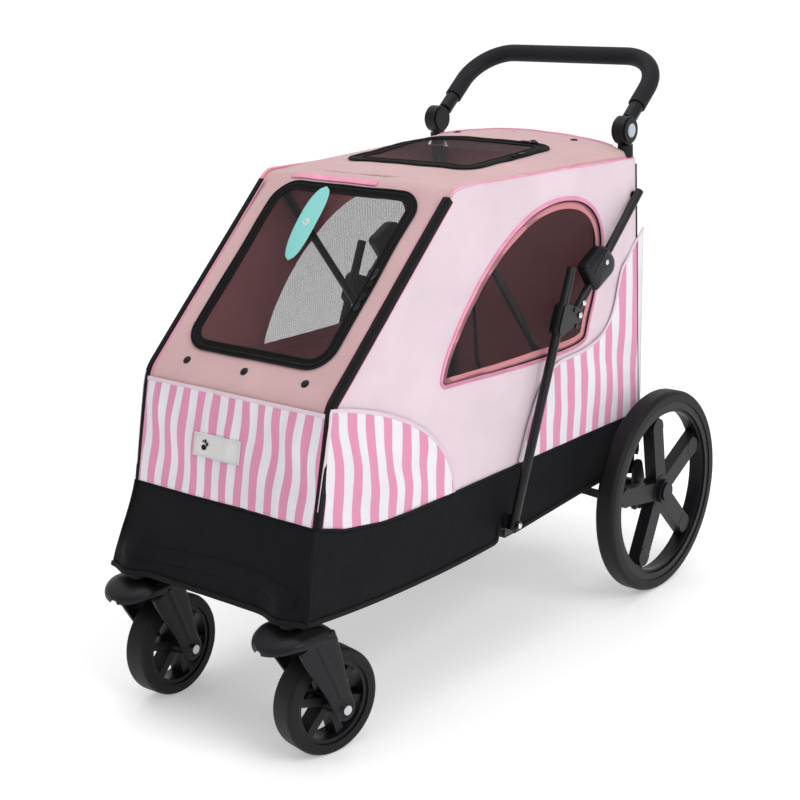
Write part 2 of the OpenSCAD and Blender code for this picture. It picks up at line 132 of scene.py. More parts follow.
def radius_at(outline, centre, angles):
    """How far a closed outline is from a point inside it in each direction, read along its edges."""
    fine = resample(outline, 1.5, closed=True) - centre
    theta = np.arctan2(fine[:, 1], fine[:, 0])
    order = np.argsort(theta)
    theta, r = theta[order], np.linalg.norm(fine, axis=1)[order]
    return np.interp(angles, np.concatenate([theta - 2 * math.pi, theta, theta + 2 * math.pi]),
                     np.tile(r, 3))


def ring_between(inner, outer, corners, centre, rows, columns=150):
    """Points [rows, columns, 2] between two closed outlines: rays from a centre, each cut into even
    steps from the inner outline to the outer one, with a ray through every outer corner."""
    even = np.linspace(-math.pi, math.pi, columns, endpoint=False)
    at_corners = np.arctan2(corners[:, 1] - centre[1], corners[:, 0] - centre[0])
    angles = np.unique(np.round(np.concatenate([even, at_corners]), 5))
    angles = angles[np.concatenate([[True], np.diff(angles) > 1e-3])]
    near = radius_at(inner, centre, angles) if inner is not None else 0.02 * np.ones_like(angles)
    far = radius_at(outer, centre, angles)
    t = np.linspace(0, 1, rows)[:, None]
    r = near + t * (far - near)
    return centre + r[..., None] * np.stack([np.cos(angles), np.sin(angles)], 1)


def ripple(u, v, seed, count=7, longest=220.0, shortest=45.0):
    """Gentle cloth unevenness, from -1 to 1: a sum of sine waves in seeded directions, long ones strongest."""
    draw = np.random.default_rng(seed)
    lengths = np.geomspace(longest, shortest, count)
    total = np.zeros(np.broadcast(u, v).shape)
    for length, angle, phase in zip(lengths, draw.uniform(0, math.pi, count), draw.uniform(0, 6.28, count)):
        total += length / longest * np.sin(2 * math.pi * (u * math.cos(angle) + v * math.sin(angle)) / length + phase)
    return total / (lengths / longest).sum() * 1.8


# ---- Meshes ----

def add_mesh(name, points, faces, face_uv=None, material=None, away_from=None):
    """A mesh object from points in millimetres, with its faces turned away from a point if one is given,
    or outwards if the mesh is closed."""
    mesh = bpy.data.meshes.new(name)
    mesh.from_pydata((np.asarray(points, float) * MM).tolist(), [], [list(map(int, f)) for f in faces])
    if face_uv is not None:
        layer = mesh.uv_layers.new(name="UVMap")
        layer.data.foreach_set("uv", np.asarray(face_uv, np.float32).ravel())
    mesh.polygons.foreach_set("use_smooth", np.ones(len(mesh.polygons), bool))
    if material is not None:
        mesh.materials.append(material)
    piece = bpy.data.objects.new(name, mesh)
    bpy.context.scene.collection.objects.link(piece)
    if away_from is None:
        shell = bmesh.new()
        shell.from_mesh(mesh)
        bmesh.ops.recalc_face_normals(shell, faces=shell.faces)
        shell.to_mesh(mesh)
        shell.free()
    else:
        normals = np.zeros(len(mesh.polygons) * 3)
        middles = np.zeros(len(mesh.polygons) * 3)
        mesh.polygons.foreach_get("normal", normals)
        mesh.polygons.foreach_get("center", middles)
        outward = middles.reshape(-1, 3) - np.asarray(away_from, float) * MM
        if (normals.reshape(-1, 3) * outward).sum() < 0:
            mesh.flip_normals()
    mesh.update()
    return piece


def grid(name, points, uv=None, wrap=(False, False), caps=False, material=None, away_from=None):
    """A sheet or tube of quads over points [rows, columns, 3]. wrap joins the last row or column to the
    first. uv is in metres, one row or column longer where it wraps. caps closes a tube's two ends."""
    rows, columns = points.shape[:2]
    i, j = np.meshgrid(np.arange(rows - 1 + wrap[0]), np.arange(columns - 1 + wrap[1]), indexing="ij")
    around = [(i, j), (i, j + 1), (i + 1, j + 1), (i + 1, j)]
    faces = np.stack([(a % rows) * columns + b % columns for a, b in around], -1).reshape(-1, 4).tolist()
    if uv is None:
        across = np.concatenate([np.zeros((rows, 1)), np.cumsum(np.linalg.norm(
            np.diff(points, axis=1), axis=2), 1)], 1)
        down = np.concatenate([np.zeros((1, columns)), np.cumsum(np.linalg.norm(
            np.diff(points, axis=0), axis=2), 0)], 0)
        uv = np.stack([across, down], -1) * MM
        if wrap[1]:
            step = np.linalg.norm(points[:, -1] - points[:, 0], axis=1) * MM
            last = uv[:, -1:] + np.stack([step, 0 * step], -1)[:, None]
            uv = np.concatenate([uv, last], 1)
        if wrap[0]:
            step = np.linalg.norm(points[-1] - points[0], axis=1) * MM
            step = np.append(step, step[:1]) if wrap[1] else step
            uv = np.concatenate([uv, uv[-1:] + np.stack([0 * step, step], -1)[None]], 0)
    face_uv = np.stack([uv[a, b] for a, b in around], -2).reshape(-1, 2)
    if caps:
        ring = np.arange(columns)
        faces += [ring.tolist(), (ring + (rows - 1) * columns).tolist()]
        face_uv = np.concatenate([face_uv, uv[0, :columns], uv[-1, :columns]])
    return add_mesh(name, points.reshape(-1, 3), faces, face_uv, material, away_from)


def unit(v):
    return v / np.maximum(np.linalg.norm(v, axis=-1, keepdims=True), 1e-9)


def sweep(name, path, profile, up, closed=False, material=None, scale=None):
    """A profile [n, 2] carried along a path: its first axis lies across the path and its second along the
    part of up that is square to the path. scale widens it at each point."""
    path = np.asarray(path, float)
    if closed:
        ahead, behind = np.roll(path, -1, 0), np.roll(path, 1, 0)
        tangent = unit(ahead - behind)
    else:
        tangent = unit(np.gradient(path, axis=0))
    across = unit(np.cross(tangent, np.broadcast_to(up, path.shape)))
    above = np.cross(across, tangent)
    if scale is not None:
        across = across * np.asarray(scale)[:, None]
    points = path[:, None] + profile[None, :, :1] * across[:, None] + profile[None, :, 1:] * above[:, None]
    return grid(name, points, wrap=(closed, True), caps=not closed, material=material)


def oval(a, b, power=2.0, count=14):
    """A closed profile whose two half-axes are a and b; a higher power squares it off."""
    angle = np.linspace(0, 2 * math.pi, count, endpoint=False)
    c, s = np.cos(angle), np.sin(angle)
    return np.stack([a * np.sign(c) * np.abs(c) ** (2 / power), b * np.sign(s) * np.abs(s) ** (2 / power)], 1)


def lathe(name, profile, middle, axis, count=48, material=None):
    """A closed profile [n, 2] of (distance along the axis, radius) turned round an axis through a point.
    A profile that starts and ends on the axis gives a closed solid."""
    profile = np.asarray(profile, float)
    axis = unit(np.asarray(axis, float))
    side = unit(np.cross(axis, [0.3, 0.5, 0.9]))
    other = np.cross(axis, side)
    angle = np.linspace(0, 2 * math.pi, count, endpoint=False)
    ring = np.cos(angle)[:, None] * side + np.sin(angle)[:, None] * other
    radii = np.maximum(profile[:, 1], 0.01)
    points = np.asarray(middle, float) + profile[:, None, :1] * axis + radii[:, None, None] * ring[None]
    on_axis = profile[0, 1] < 0.05 and profile[-1, 1] < 0.05
    return grid(name, points, wrap=(not on_axis, True), caps=on_axis, material=material)


def joined(name, pieces):
    """Several meshes made one object, each keeping its materials."""
    for piece in pieces:
        piece.select_set(True)
    bpy.context.view_layer.objects.active = pieces[0]
    with bpy.context.temp_override(active_object=pieces[0], object=pieces[0],
                                   selected_objects=pieces, selected_editable_objects=pieces):
        bpy.ops.object.join()
    pieces[0].name = name
    pieces[0].data.name = name
    pieces[0].select_set(False)
    return pieces[0]


def thicken(piece, thickness, inner=None):
    """Solidify towards the inside. inner is the material of the inside face."""
    solid = piece.modifiers.new("thickness", "SOLIDIFY")
    solid.thickness = thickness * MM
    solid.offset = -1
    if inner is not None:
        piece.data.materials.append(inner)
        solid.material_offset = 1
    return piece


# ---- Finishes ----

class Finish:
    """A material being made: a Principled shader, with short calls that add nodes and join them."""

    def __init__(self, name, **constants):
        self.material = bpy.data.materials.new(name)
        self.material.use_nodes = True
        self.tree = self.material.node_tree
        self.shader = self.tree.nodes["Principled BSDF"]
        for socket, value in constants.items():
            self.shader.inputs[socket.replace("_", " ")].default_value = value

    def add(self, kind, inputs=(), **settings):
        node = self.tree.nodes.new("ShaderNode" + kind)
        for key, value in settings.items():
            setattr(node, key, value)
        for key, value in dict(inputs).items():
            self.join(value, node.inputs[key])
        return node

    def join(self, value, socket):
        if isinstance(value, bpy.types.NodeSocket):
            self.tree.links.new(value, socket)
        else:
            socket.default_value = value

    def place(self, kind):
        """Object coordinates in metres, or the piece's own UV map in metres."""
        return self.add("TexCoord").outputs[kind]

    def maths(self, operation, a, b=0.0, c=0.0):
        return self.add("Math", {0: a, 1: b, 2: c}, operation=operation).outputs[0]

    def noise(self, place, scale, detail=3.0, rough=0.55):
        return self.add("TexNoise", {"Vector": place, "Scale": scale, "Detail": detail,
                                     "Roughness": rough}).outputs["Fac"]

    def waves(self, place, pitch, axis, distortion=0.0):
        """Sine bands across one axis, one band to each pitch, from 0 to 1."""
        return self.add("TexWave", {"Vector": place, "Scale": math.pi / 10 / pitch, "Distortion": distortion,
                                    "Detail": 1.0, "Detail Scale": 1.0},
                        wave_type="BANDS", bands_direction=axis).outputs["Fac"]

    def ramp(self, value, stops):
        ramp = self.add("ValToRGB", {"Fac": value})
        points = ramp.color_ramp.elements
        while len(points) < len(stops):
            points.new(0.5)
        for point, (at, colour) in zip(points, stops):
            point.position = at
            point.color = (*colour, 1)
        return ramp.outputs["Color"]

    def mixed(self, share, a, b, blend="MIX"):
        node = self.add("Mix", data_type="RGBA", blend_type=blend)
        self.join(share, node.inputs["Factor"])
        for socket, value in ((6, a), (7, b)):
            self.join((*value, 1) if isinstance(value, tuple) else value, node.inputs[socket])
        return node.outputs[2]

    def span(self, value, low, high):
        return self.add("MapRange", {"Value": value, "To Min": low, "To Max": high}).outputs["Result"]

    def bump(self, height, depth, before=None):
        node = self.add("Bump", {"Height": height, "Distance": depth, "Strength": 1.0})
        if before is not None:
            self.join(before, node.inputs["Normal"])
        return node.outputs["Normal"]

    def set(self, **sockets):
        for socket, value in sockets.items():
            self.join(value, self.shader.inputs[socket.replace("_", " ")])
        return self.material


def shade(colour, factor):
    return tuple(min(c * factor, 1.0) for c in colour)


def woven(name, colour, pitch=1.1, rough=0.8, sheen=0.25, crease=0.9, stripes=None):
    """Plain woven cloth on the piece's UV map in metres: two crossed sets of threads, slubs along them,
    slow changes of shade, and soft creases. stripes is (pitch, second colour, share of the pitch)."""
    cloth = Finish(name, Sheen_Weight=sheen, Sheen_Roughness=0.5, Specular_IOR_Level=0.12)
    place = cloth.place("UV")
    warp = cloth.waves(place, pitch * MM, "X")
    weft = cloth.waves(place, pitch * MM, "Y")
    threads = cloth.maths("MAXIMUM", warp, weft)
    slub = cloth.noise(cloth.add("Mapping", {"Vector": place, "Scale": (900, 120, 1)}).outputs[0], 1.0, 2.0)
    cloud = cloth.noise(place, 7.0, 4.0)
    base = cloth.ramp(cloud, [(0.3, shade(colour, 0.93)), (0.7, shade(colour, 1.05))])
    if stripes:
        width, other, share = stripes
        bands = cloth.waves(place, width * MM, "X")
        edge = cloth.add("MapRange", {"Value": bands, "From Min": share - 0.035, "From Max": share + 0.035})
        base = cloth.mixed(edge.outputs["Result"], base,
                           cloth.ramp(cloud, [(0.3, shade(other, 0.9)), (0.7, shade(other, 1.06))]))
    # painted shade: the cloth's colour is darkened in the low valleys between the threads, where the bump puts the
    # cloth lowest
    dark = cloth.span(threads, 0.86, 1.03)
    valley_shaded = cloth.mixed(1.0, base, cloth.add("CombineColor", {"Red": dark, "Green": dark, "Blue": dark}).outputs[0],
                       "MULTIPLY")
    slubs = cloth.span(slub, 0.93, 1.05)
    colour_out = cloth.mixed(1.0, valley_shaded, cloth.add("CombineColor", {"Red": slubs, "Green": slubs, "Blue": slubs}
                                                  ).outputs[0], "MULTIPLY")
    creases = cloth.noise(place, 16.0, 3.0, 0.5)
    normal = cloth.bump(creases, crease * 4 * MM)
    normal = cloth.bump(threads, 0.16 * MM, normal)
    normal = cloth.bump(slub, 0.08 * MM, normal)
    return cloth.set(Base_Color=colour_out, Roughness=cloth.span(slub, rough - 0.07, rough + 0.07), Normal=normal)


def netting(name, colour, pitch=1.7, cover=0.875):
    """Open mesh on the UV map in metres: crossed strands with holes between, rounded by bump."""
    net = Finish(name, Specular_IOR_Level=0.3, Roughness=0.55)
    place = net.place("UV")
    across = net.waves(place, pitch * MM, "X")
    down = net.waves(place, pitch * MM, "Y")
    strand = net.maths("MAXIMUM", across, down)
    alpha = net.add("MapRange", {"Value": strand, "From Min": cover - 0.05, "From Max": cover + 0.05})
    cloud = net.noise(place, 14.0, 3.0)
    base = net.ramp(cloud, [(0.3, shade(colour, 0.8)), (0.7, shade(colour, 1.2))])
    net.set(Base_Color=base, Normal=net.bump(strand, 0.5 * MM), Alpha=alpha.outputs["Result"])
    return net.material


def coated(name, colour, rough=0.32, coat=0.15, peel=0.05, scuff=0.12):
    """Powder-coated steel: orange peel, drifts of dust, and fine scuffs that dull the gloss."""
    paint = Finish(name, Coat_Weight=coat, Coat_Roughness=0.12, Specular_IOR_Level=0.3)
    place = paint.place("Object")
    dust = paint.noise(place, 9.0, 5.0)
    fine = paint.noise(place, 600.0, 2.0)
    scratches = paint.noise(paint.add("Mapping", {"Vector": place, "Scale": (60, 700, 90)}).outputs[0], 1.0, 4.0)
    base = paint.ramp(dust, [(0.35, colour), (0.75, shade(colour, 1.9))])
    rub = paint.maths("ADD", paint.span(dust, rough - 0.05, rough + 0.08),
                      paint.maths("MULTIPLY", paint.maths("GREATER_THAN", scratches, 0.66), scuff))
    return paint.set(Base_Color=base, Roughness=rub, Normal=paint.bump(fine, peel * MM))


def moulded(name, colour, rough=0.45, grain=900.0, depth=0.06, spread=1.35, coat=0.0):
    """Moulded plastic, rubber or foam: a fine grain in the surface and slow changes of shade and gloss."""
    plastic = Finish(name, Specular_IOR_Level=0.25, Coat_Weight=coat, Coat_Roughness=0.25)
    place = plastic.place("Object")
    cloud = plastic.noise(place, 12.0, 4.0)
    cells = plastic.add("TexVoronoi", {"Vector": place, "Scale": grain}, feature="SMOOTH_F1").outputs["Distance"]
    fine = plastic.noise(place, grain * 0.6, 2.0)
    base = plastic.ramp(cloud, [(0.3, colour), (0.75, shade(colour, spread))])
    normal = plastic.bump(cells, depth * MM)
    normal = plastic.bump(fine, depth * MM, normal)
    return plastic.set(Base_Color=base, Roughness=plastic.span(cloud, rough - 0.06, rough + 0.07), Normal=normal)


def polished(name, colour, rough=0.25, grain=(30, 30, 900)):
    """Bare or plated metal: fine drawn lines and slow changes of gloss."""
    metal = Finish(name, Metallic=1.0)
    place = metal.place("Object")
    lines = metal.noise(metal.add("Mapping", {"Vector": place, "Scale": grain}).outputs[0], 1.0, 3.0)
    cloud = metal.noise(place, 30.0, 3.0)
    base = metal.ramp(cloud, [(0.3, shade(colour, 0.85)), (0.7, colour)])
    return metal.set(Base_Color=base, Roughness=metal.span(cloud, rough - 0.07, rough + 0.1),
                     Normal=metal.bump(lines, 0.03 * MM))


def ribbed(name, colour, pitch=1.6, rough=0.75, sheen=0.2):
    """Binding tape or webbing: ribs across the tape and a finer twill along it."""
    tape = Finish(name, Sheen_Weight=sheen, Specular_IOR_Level=0.15)
    place = tape.place("UV")
    ribs = tape.waves(place, pitch * MM, "Y")
    twill = tape.waves(tape.add("Mapping", {"Vector": place, "Rotation": (0, 0, 0.7)}).outputs[0], 0.9 * MM, "X")
    cloud = tape.noise(place, 25.0, 3.0)
    base = tape.ramp(cloud, [(0.3, shade(colour, 0.85)), (0.7, shade(colour, 1.25))])
    normal = tape.bump(ribs, 0.18 * MM)
    normal = tape.bump(twill, 0.1 * MM, normal)
    return tape.set(Base_Color=base, Roughness=tape.span(cloud, rough - 0.08, rough + 0.05), Normal=normal)


PINK = (0.76, 0.30, 0.47)
WHITE_STRIPE = (0.83, 0.80, 0.86)
finish = {
    "black_steel": coated("black_steel", (0.004, 0.004, 0.005)),
    "bright_steel": polished("bright_steel", (0.62, 0.62, 0.64)),
    "black_plastic": moulded("black_plastic", (0.005, 0.0055, 0.007), 0.42),
    "tyre_rubber": moulded("tyre_rubber", (0.004, 0.004, 0.005), 0.55, 700.0, 0.05),
    "grip_foam": moulded("grip_foam", (0.006, 0.006, 0.008), 0.62, 500.0, 0.12),
    "grey_button": moulded("grey_button", (0.42, 0.47, 0.52), 0.35, 900.0, 0.03, 1.1, 0.2),
    "floor_panel": woven("floor_panel", (0.008, 0.008, 0.009), sheen=0.02),
    "cushion_cloth": woven("cushion_cloth", (0.26, 0.075, 0.09), 1.6, 0.85, 0.3),
    "black_oxford": woven("black_oxford", (0.004, 0.0045, 0.006), 1.0, 0.7, 0.02, crease=1.2),
    "lilac_canvas": woven("lilac_canvas", (0.77, 0.63, 0.695), 0.9, 0.82, 0.2),
    "salmon_canvas": woven("salmon_canvas", (0.65, 0.42, 0.43), 0.9, 0.82, 0.2),
    "black_mesh": netting("black_mesh", (0.022, 0.022, 0.024)),
    "striped_canvas": woven("striped_canvas", PINK, 0.9, 0.8, 0.2,
                            stripes=(32, WHITE_STRIPE, 0.5)),
    "rose_lining": woven("rose_lining", (0.66, 0.24, 0.27), 0.8, 0.75, 0.3),
    "black_binding": ribbed("black_binding", (0.005, 0.005, 0.006), sheen=0.03),
    "pink_binding": ribbed("pink_binding", (0.88, 0.30, 0.47), 1.3, 0.6, 0.3),
    "silver_metal": polished("silver_metal", (0.78, 0.78, 0.8), 0.18),
    "paper_tag": moulded("paper_tag", (0.23, 0.60, 0.58), 0.5, 400.0, 0.01, 1.08),
    "white_label": woven("white_label", (0.76, 0.75, 0.76), 0.7, 0.7, 0.2, crease=0.2),
}


def fit(piece, slot_name, body="chassis"):
    """The piece takes its finish from a material slot of the record and rides on a body."""
    if not piece.data.materials:
        piece.data.materials.append(finish[slot_name])
    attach(piece, body)
    return piece


def crumple(*pieces):
    """Gives each cabin fabric piece a mesh of its own."""
    for piece in pieces:
        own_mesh(piece)


# Finishes of the CAD nodes that stay as they are
NODE_FINISH = {
    "black_steel": ["left_base_rail", "right_base_rail", "cross_tubes", "left_post", "right_post",
                    "handlebar_tube", "left_bow_stay", "right_bow_stay", "roof_bow", "left_lower_brace",
                    "right_lower_brace", "left_upper_brace", "right_upper_brace", "left_axle_bracket",
                    "right_axle_bracket", "brace_mounts", "brake_bar"],
    "bright_steel": ["rear_axle", "left_caster_bolt", "right_caster_bolt"],
    "black_plastic": ["caster_sockets", "handle_sockets", "handle_hubs", "left_brace_latch",
                      "right_brace_latch", "left_caster_fork", "right_caster_fork", "left_caster_rim",
                      "right_caster_rim", "left_rear_rim", "right_rear_rim"],
    "tyre_rubber": ["left_caster_tyre", "right_caster_tyre", "left_rear_tyre", "right_rear_tyre"],
    "grip_foam": ["handle_grip"],
    "grey_button": ["left_handle_button", "right_handle_button"],
    "floor_panel": ["floor_board"],
}
for slot_name, names in NODE_FINISH.items():
    for name in names:
        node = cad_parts[name]
        node.data.materials.clear()
        node.data.materials.append(finish[slot_name])


# ---- The cabin's surfaces ----

def post_y(z):
    """Y of a rear post's centreline at a height."""
    return POST_FOOT[0] - (z - POST_FOOT[1]) * 31 / 630


def side_x(y, z):
    """Half-width of the cabin: a straight taper from front to rear, less a lean by the roof's front
    corner, and pulled out to the rear post's outer side where the cloth wraps the post."""
    taper = 193.5 + 22.5 * (y + 485) / 835
    lean = 3.5 * smooth((z - 560) / 260) * smooth((230 - y) / 370)
    wrap = smooth((y - post_y(z) + 34) / 22)
    return (taper - lean) * (1 - wrap) + 221 * wrap


def side_folds(y, z, seed):
    """How far the side cloth falls in: soft folds, deeper in front of the canopy bow and none at the post."""
    depth = (0.9 + 1.5 * smooth((-150 - y) / 80)) * (1 - smooth((y - post_y(z) + 60) / 30))
    return depth * (1 + np.clip(ripple(y, z, seed), -1, 1))


def side_points(yz, side, seed=3, out=0.0):
    """Points of the side cloth above (y, z) pairs, moved out by a distance."""
    y, z = yz[..., 0], yz[..., 1]
    x = side_x(y, z) - side_folds(y, z, seed + (side < 0)) + out
    return np.stack([side * x, y, z], -1)


# The front, the slope and the roof are one strip: a side view with round corners, measured by the
# distance s up the front and back along the roof
STRIP = rounded([FRONT_SEAM, FRONT_BEND, ROOF_FRONT, ROOF_REAR], 26)
STRIP_S = arc_length(STRIP)
S_BEND = float(STRIP_S[np.argmin(np.linalg.norm(STRIP - FRONT_BEND, axis=1))])
S_ROOF = float(STRIP_S[np.argmin(np.linalg.norm(STRIP - ROOF_FRONT, axis=1))])
S_END = float(STRIP_S[-1])
STRIP_NORMAL = unit(np.stack([-np.gradient(STRIP[:, 1]), np.gradient(STRIP[:, 0])], 1))


def strip_side(s):
    """(y, z, normal's y, normal's z) of the strip's side view at a distance along it."""
    normal = np.stack([np.interp(s, STRIP_S, STRIP_NORMAL[:, k]) for k in (0, 1)], -1)
    normal = unit(normal)
    return (np.interp(s, STRIP_S, STRIP[:, 0]), np.interp(s, STRIP_S, STRIP[:, 1]),
            normal[..., 0], normal[..., 1])


def arch(x, y, half):
    """Rise of the roof: none at its front edge, and a flattened arch that grows evenly to the rear."""
    grown = np.clip((y - ROOF_FRONT[0]) / (ROOF_REAR[0] - ROOF_FRONT[0]), 0, 1)
    return CROWN * grown * np.clip(1 - (x / half) ** 2, 0, 1) ** 0.42


def strip_points(xs, out=0.0, seed=11, folds=1.0):
    """Points of the strip above (x, s) pairs. x of 195 is the side edge. The cloth falls in by soft folds
    that fade at the side edges, and the edges drop by 4 mm where the slope meets the roof."""
    s = xs[..., 1]
    y, z, ny, nz = strip_side(s)
    half = side_x(y, z)
    x = xs[..., 0] * half / 195
    edge = 1 - smooth((np.abs(x) - half + 40) / 40)
    fall = folds * 1.3 * (1 + np.clip(ripple(x, s, seed), -1, 1)) * edge
    corner = 4 * smooth((np.abs(x) - 120) / 79) * np.exp(-((s - S_ROOF) / 90) ** 2)
    move = out - fall - corner
    return np.stack([x, y + ny * move, z + nz * move + arch(x, y, half)], -1)


def strip_normals(xs):
    """Outward normals of the strip above (x, s) pairs."""
    e = 2.0
    along_x = strip_points(xs + [e, 0], folds=0) - strip_points(xs - [e, 0], folds=0)
    along_s = strip_points(xs + [0, e], folds=0) - strip_points(xs - [0, e], folds=0)
    return unit(np.cross(along_x, along_s))


def rear_y(x, z):
    """Y of the rear cloth: just behind the plane of the posts, and out round each post."""
    return post_y(z) + 2 + 11.5 * smooth((np.abs(x) - 181) / 13)


def rear_points(xz, out=0.0, seed=21):
    x, z = xz[..., 0], xz[..., 1]
    fall = 0.8 * (1 + np.clip(ripple(x, z, seed), -1, 1)) * (1 - smooth((np.abs(x) - 150) / 30))
    return np.stack([x, rear_y(x, z) + out - fall, z], -1)


SEAM_LINE = np.array([[-485, 371], [-427, 352], [-346, 339], [-280, 334], [400, 334]], float)


def seam_z(y):
    """Height of the seam between the black base and the side panels."""
    return np.interp(y, SEAM_LINE[:, 0], SEAM_LINE[:, 1])


# ---- Side panels, with their windows and pockets ----

WINDOW = rounded(np.vstack([
    bezier([-190, 525], [-170, 600], [-20, 764], [130, 766]),
    bezier([130, 766], [200, 766], [268, 740], [260, 655])[1:],
    bezier([260, 655], [254, 610], [226, 560], [212, 518])[1:],
    bezier([212, 518], [208, 500], [120, 502], [60, 504])[1:],
    bezier([60, 504], [-40, 508], [-120, 513], [-184, 516])[1:],
]), 7, closed=True)
WINDOW_MIDDLE = np.array([95.0, 620.0])


def side_outline():
    """The side panel's outline and its corners, in the side view. It runs to just behind the post."""
    low, high = post_y(SEAM_Z) + 12, post_y(ROOF_REAR[1]) + 12
    slope_edge = np.stack(strip_side(np.linspace(S_BEND - 40, S_ROOF + 40, 60))[:2], 1)
    corners = np.vstack([SEAM_LINE[:4], [[low, SEAM_Z], [high, ROOF_REAR[1] - 1], ROOF_REAR - [0, 1]],
                         slope_edge[::-1], [FRONT_SEAM]])
    return corners, corners


def side_panel(side, label):
    outline, corners = side_outline()
    flat = ring_between(WINDOW, outline, corners, WINDOW_MIDDLE, 44, 170)
    panel = grid(f"{label}_side_cloth", side_points(flat, side), uv=wrap_uv(flat), wrap=(False, True),
                 material=finish["lilac_canvas"], away_from=CABIN_MIDDLE)
    thicken(panel, 1.8, finish["rose_lining"])
    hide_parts(f"{label}_side_panel")
    return fit(panel, "lilac_canvas")


def wrap_uv(flat):
    """UV in metres of a ring of flat points, with the first column again at the end."""
    return np.concatenate([flat, flat[:, :1]], 1) * MM


def fan(outline, centre, rows):
    """Points from a middle out to a closed outline."""
    flat = centre + np.linspace(0.004, 1, rows)[:, None, None] * (outline - centre)[None]
    return flat


def net_sheet(name, flat, points, centre_uv, away_from):
    """A net over a fan of points, whose middle is closed by a small face."""
    uv = wrap_uv(flat)
    net = grid(name, points, uv=uv, wrap=(False, True), material=finish["black_mesh"], away_from=away_from)
    shell = bmesh.new()
    shell.from_mesh(net.data)
    shell.verts.ensure_lookup_table()
    middle = shell.faces.new([shell.verts[i] for i in range(points.shape[1])])
    middle.smooth = True
    bmesh.ops.recalc_face_normals(shell, faces=shell.faces)
    layer = shell.loops.layers.uv.active
    for loop in middle.loops:
        loop[layer].uv = centre_uv
    shell.to_mesh(net.data)
    shell.free()
    return net


def side_window(side, label):
    """The netting, its piping outside and its dark facing inside."""
    flat = fan(resample(WINDOW, 9, closed=True), WINDOW_MIDDLE, 14)
    sag = 3.0 * (1 - np.linspace(0, 1, 14)[:, None] ** 2)
    points = side_points(flat, side, out=-1.6)
    points[..., 0] -= side * sag
    net = net_sheet(f"{label}_window_net", flat, points, WINDOW_MIDDLE * MM, CABIN_MIDDLE)
    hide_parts(f"{label}_window_mesh")
    fit(net, "black_mesh")
    edge = resample(WINDOW, 5, closed=True)
    middle = WINDOW_MIDDLE
    outward = unit(edge - middle)
    line = side_points(edge + 1.5 * outward, side, out=0.8)
    piping = sweep(f"{label}_window_piping", line, oval(3.4, 1.7), [side, 0, 0], True, finish["pink_binding"])
    inside = side_points(edge - 7 * outward, side, out=-2.6)
    facing = sweep(f"{label}_window_facing", inside, oval(9.5, 0.7, 4), [side, 0, 0], True, finish["rose_lining"])
    lip = side_points(edge - 2.5 * outward, side, out=-0.6)
    edging = sweep(f"{label}_window_edging", lip, oval(1.6, 1.0), [side, 0, 0], True, finish["black_binding"])
    fit(piping, "pink_binding"), fit(facing, "rose_lining"), fit(edging, "black_binding")
    crumple(net, piping, facing, edging)


POCKET_TOPS = {
    "front": bezier([-485, 371], [-470, 440], [-455, 500], [-446, 545], 8),
    "front_curve": bezier([-446, 546], [-350, 524], [-172, 470], [-166, 340], 40),
    "rear_curve": np.vstack([
        bezier([6, 334], [40, 400], [60, 492], [150, 492]),
        bezier([150, 492], [240, 494], [290, 515], [305, 570])[1:],
        bezier([305, 570], [318, 630], [335, 645], [386, 684])[1:],
    ]),
}


def pocket(side, label, name, top, puff, seed):
    """A striped pocket: each column runs from the seam up to the top curve, and the cloth stands off the
    panel by a belly and vertical folds that also bend its stripes."""
    keep = top[:, 1] > seam_z(top[:, 0]) + 1.5
    top = top[keep]
    t = np.linspace(0, 1, 30)[:, None]
    y = np.broadcast_to(top[:, 0], (30, len(top)))
    low = seam_z(top[:, 0])
    z = low + t * (top[:, 1] - low)
    across = np.linspace(0, 1, len(top))
    belly = np.sin(math.pi * np.clip(across * 1.02, 0, 1)) ** 0.6 * np.sin(math.pi * np.clip(t * 0.86 + 0.05, 0, 1))
    fold = np.sin(2 * math.pi * (y / 57 + 0.25 * np.sin(z / 37 + seed))) * (0.35 + 0.65 * t)
    stand = 2.0 + puff * belly + 0.35 * puff * fold * belly
    points = side_points(np.stack([y, z], -1), side)
    points[..., 0] = side * np.minimum(side * points[..., 0] + stand, 222.3)
    wave = 2.8 * np.sin(z / 37 + y / 52 + seed) + 1.5 * np.sin(z / 19 + y / 27 + 2 * seed)
    uv = np.stack([(y + wave * np.sin(math.pi * t)) * 0.8, z], -1) * MM
    cloth = grid(f"{label}_{name}_pocket_cloth", points, uv=uv, material=finish["striped_canvas"],
                 away_from=CABIN_MIDDLE)
    thicken(cloth, 1.0)
    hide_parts(f"{label}_{name}_pocket")
    fit(cloth, "striped_canvas")
    hem_line = points[-1] + np.array([side * 0.4, 0, -3.0])
    hem = sweep(f"{label}_{name}_pocket_hem", resample(hem_line, 6), oval(3.2, 0.9, 3), [side, 0, 0],
                material=finish["lilac_canvas"])
    fit(hem, "lilac_canvas")
    crumple(cloth, hem)


for label, side in SIDES.items():
    crumple(side_panel(side, label))
    side_window(side, label)
    pocket(side, label, "front", np.vstack([POCKET_TOPS["front"], POCKET_TOPS["front_curve"][1:]]), 5.0, 1.3)
    pocket(side, label, "rear", POCKET_TOPS["rear_curve"], 4.0, 2.1)


# ---- Front, slope and roof ----

WINDOW_HALF = 150
FLAP_LOW, FLAP_HIGH, FLAP_CORNER = 52, 392, 45
FLAP_MIDDLE = np.array([0.0, S_BEND + 220])


def flap_outline(grow, spacing=6.0):
    """The front window's outline in the strip's (x, s), grown by a distance."""
    return stadium(WINDOW_HALF + grow, S_BEND + FLAP_LOW - grow, S_BEND + FLAP_HIGH + grow,
                   FLAP_CORNER + grow, spacing)


def box_outline(half, low, high):
    return np.array([[-half, low], [half, low], [half, high], [-half, high]], float)


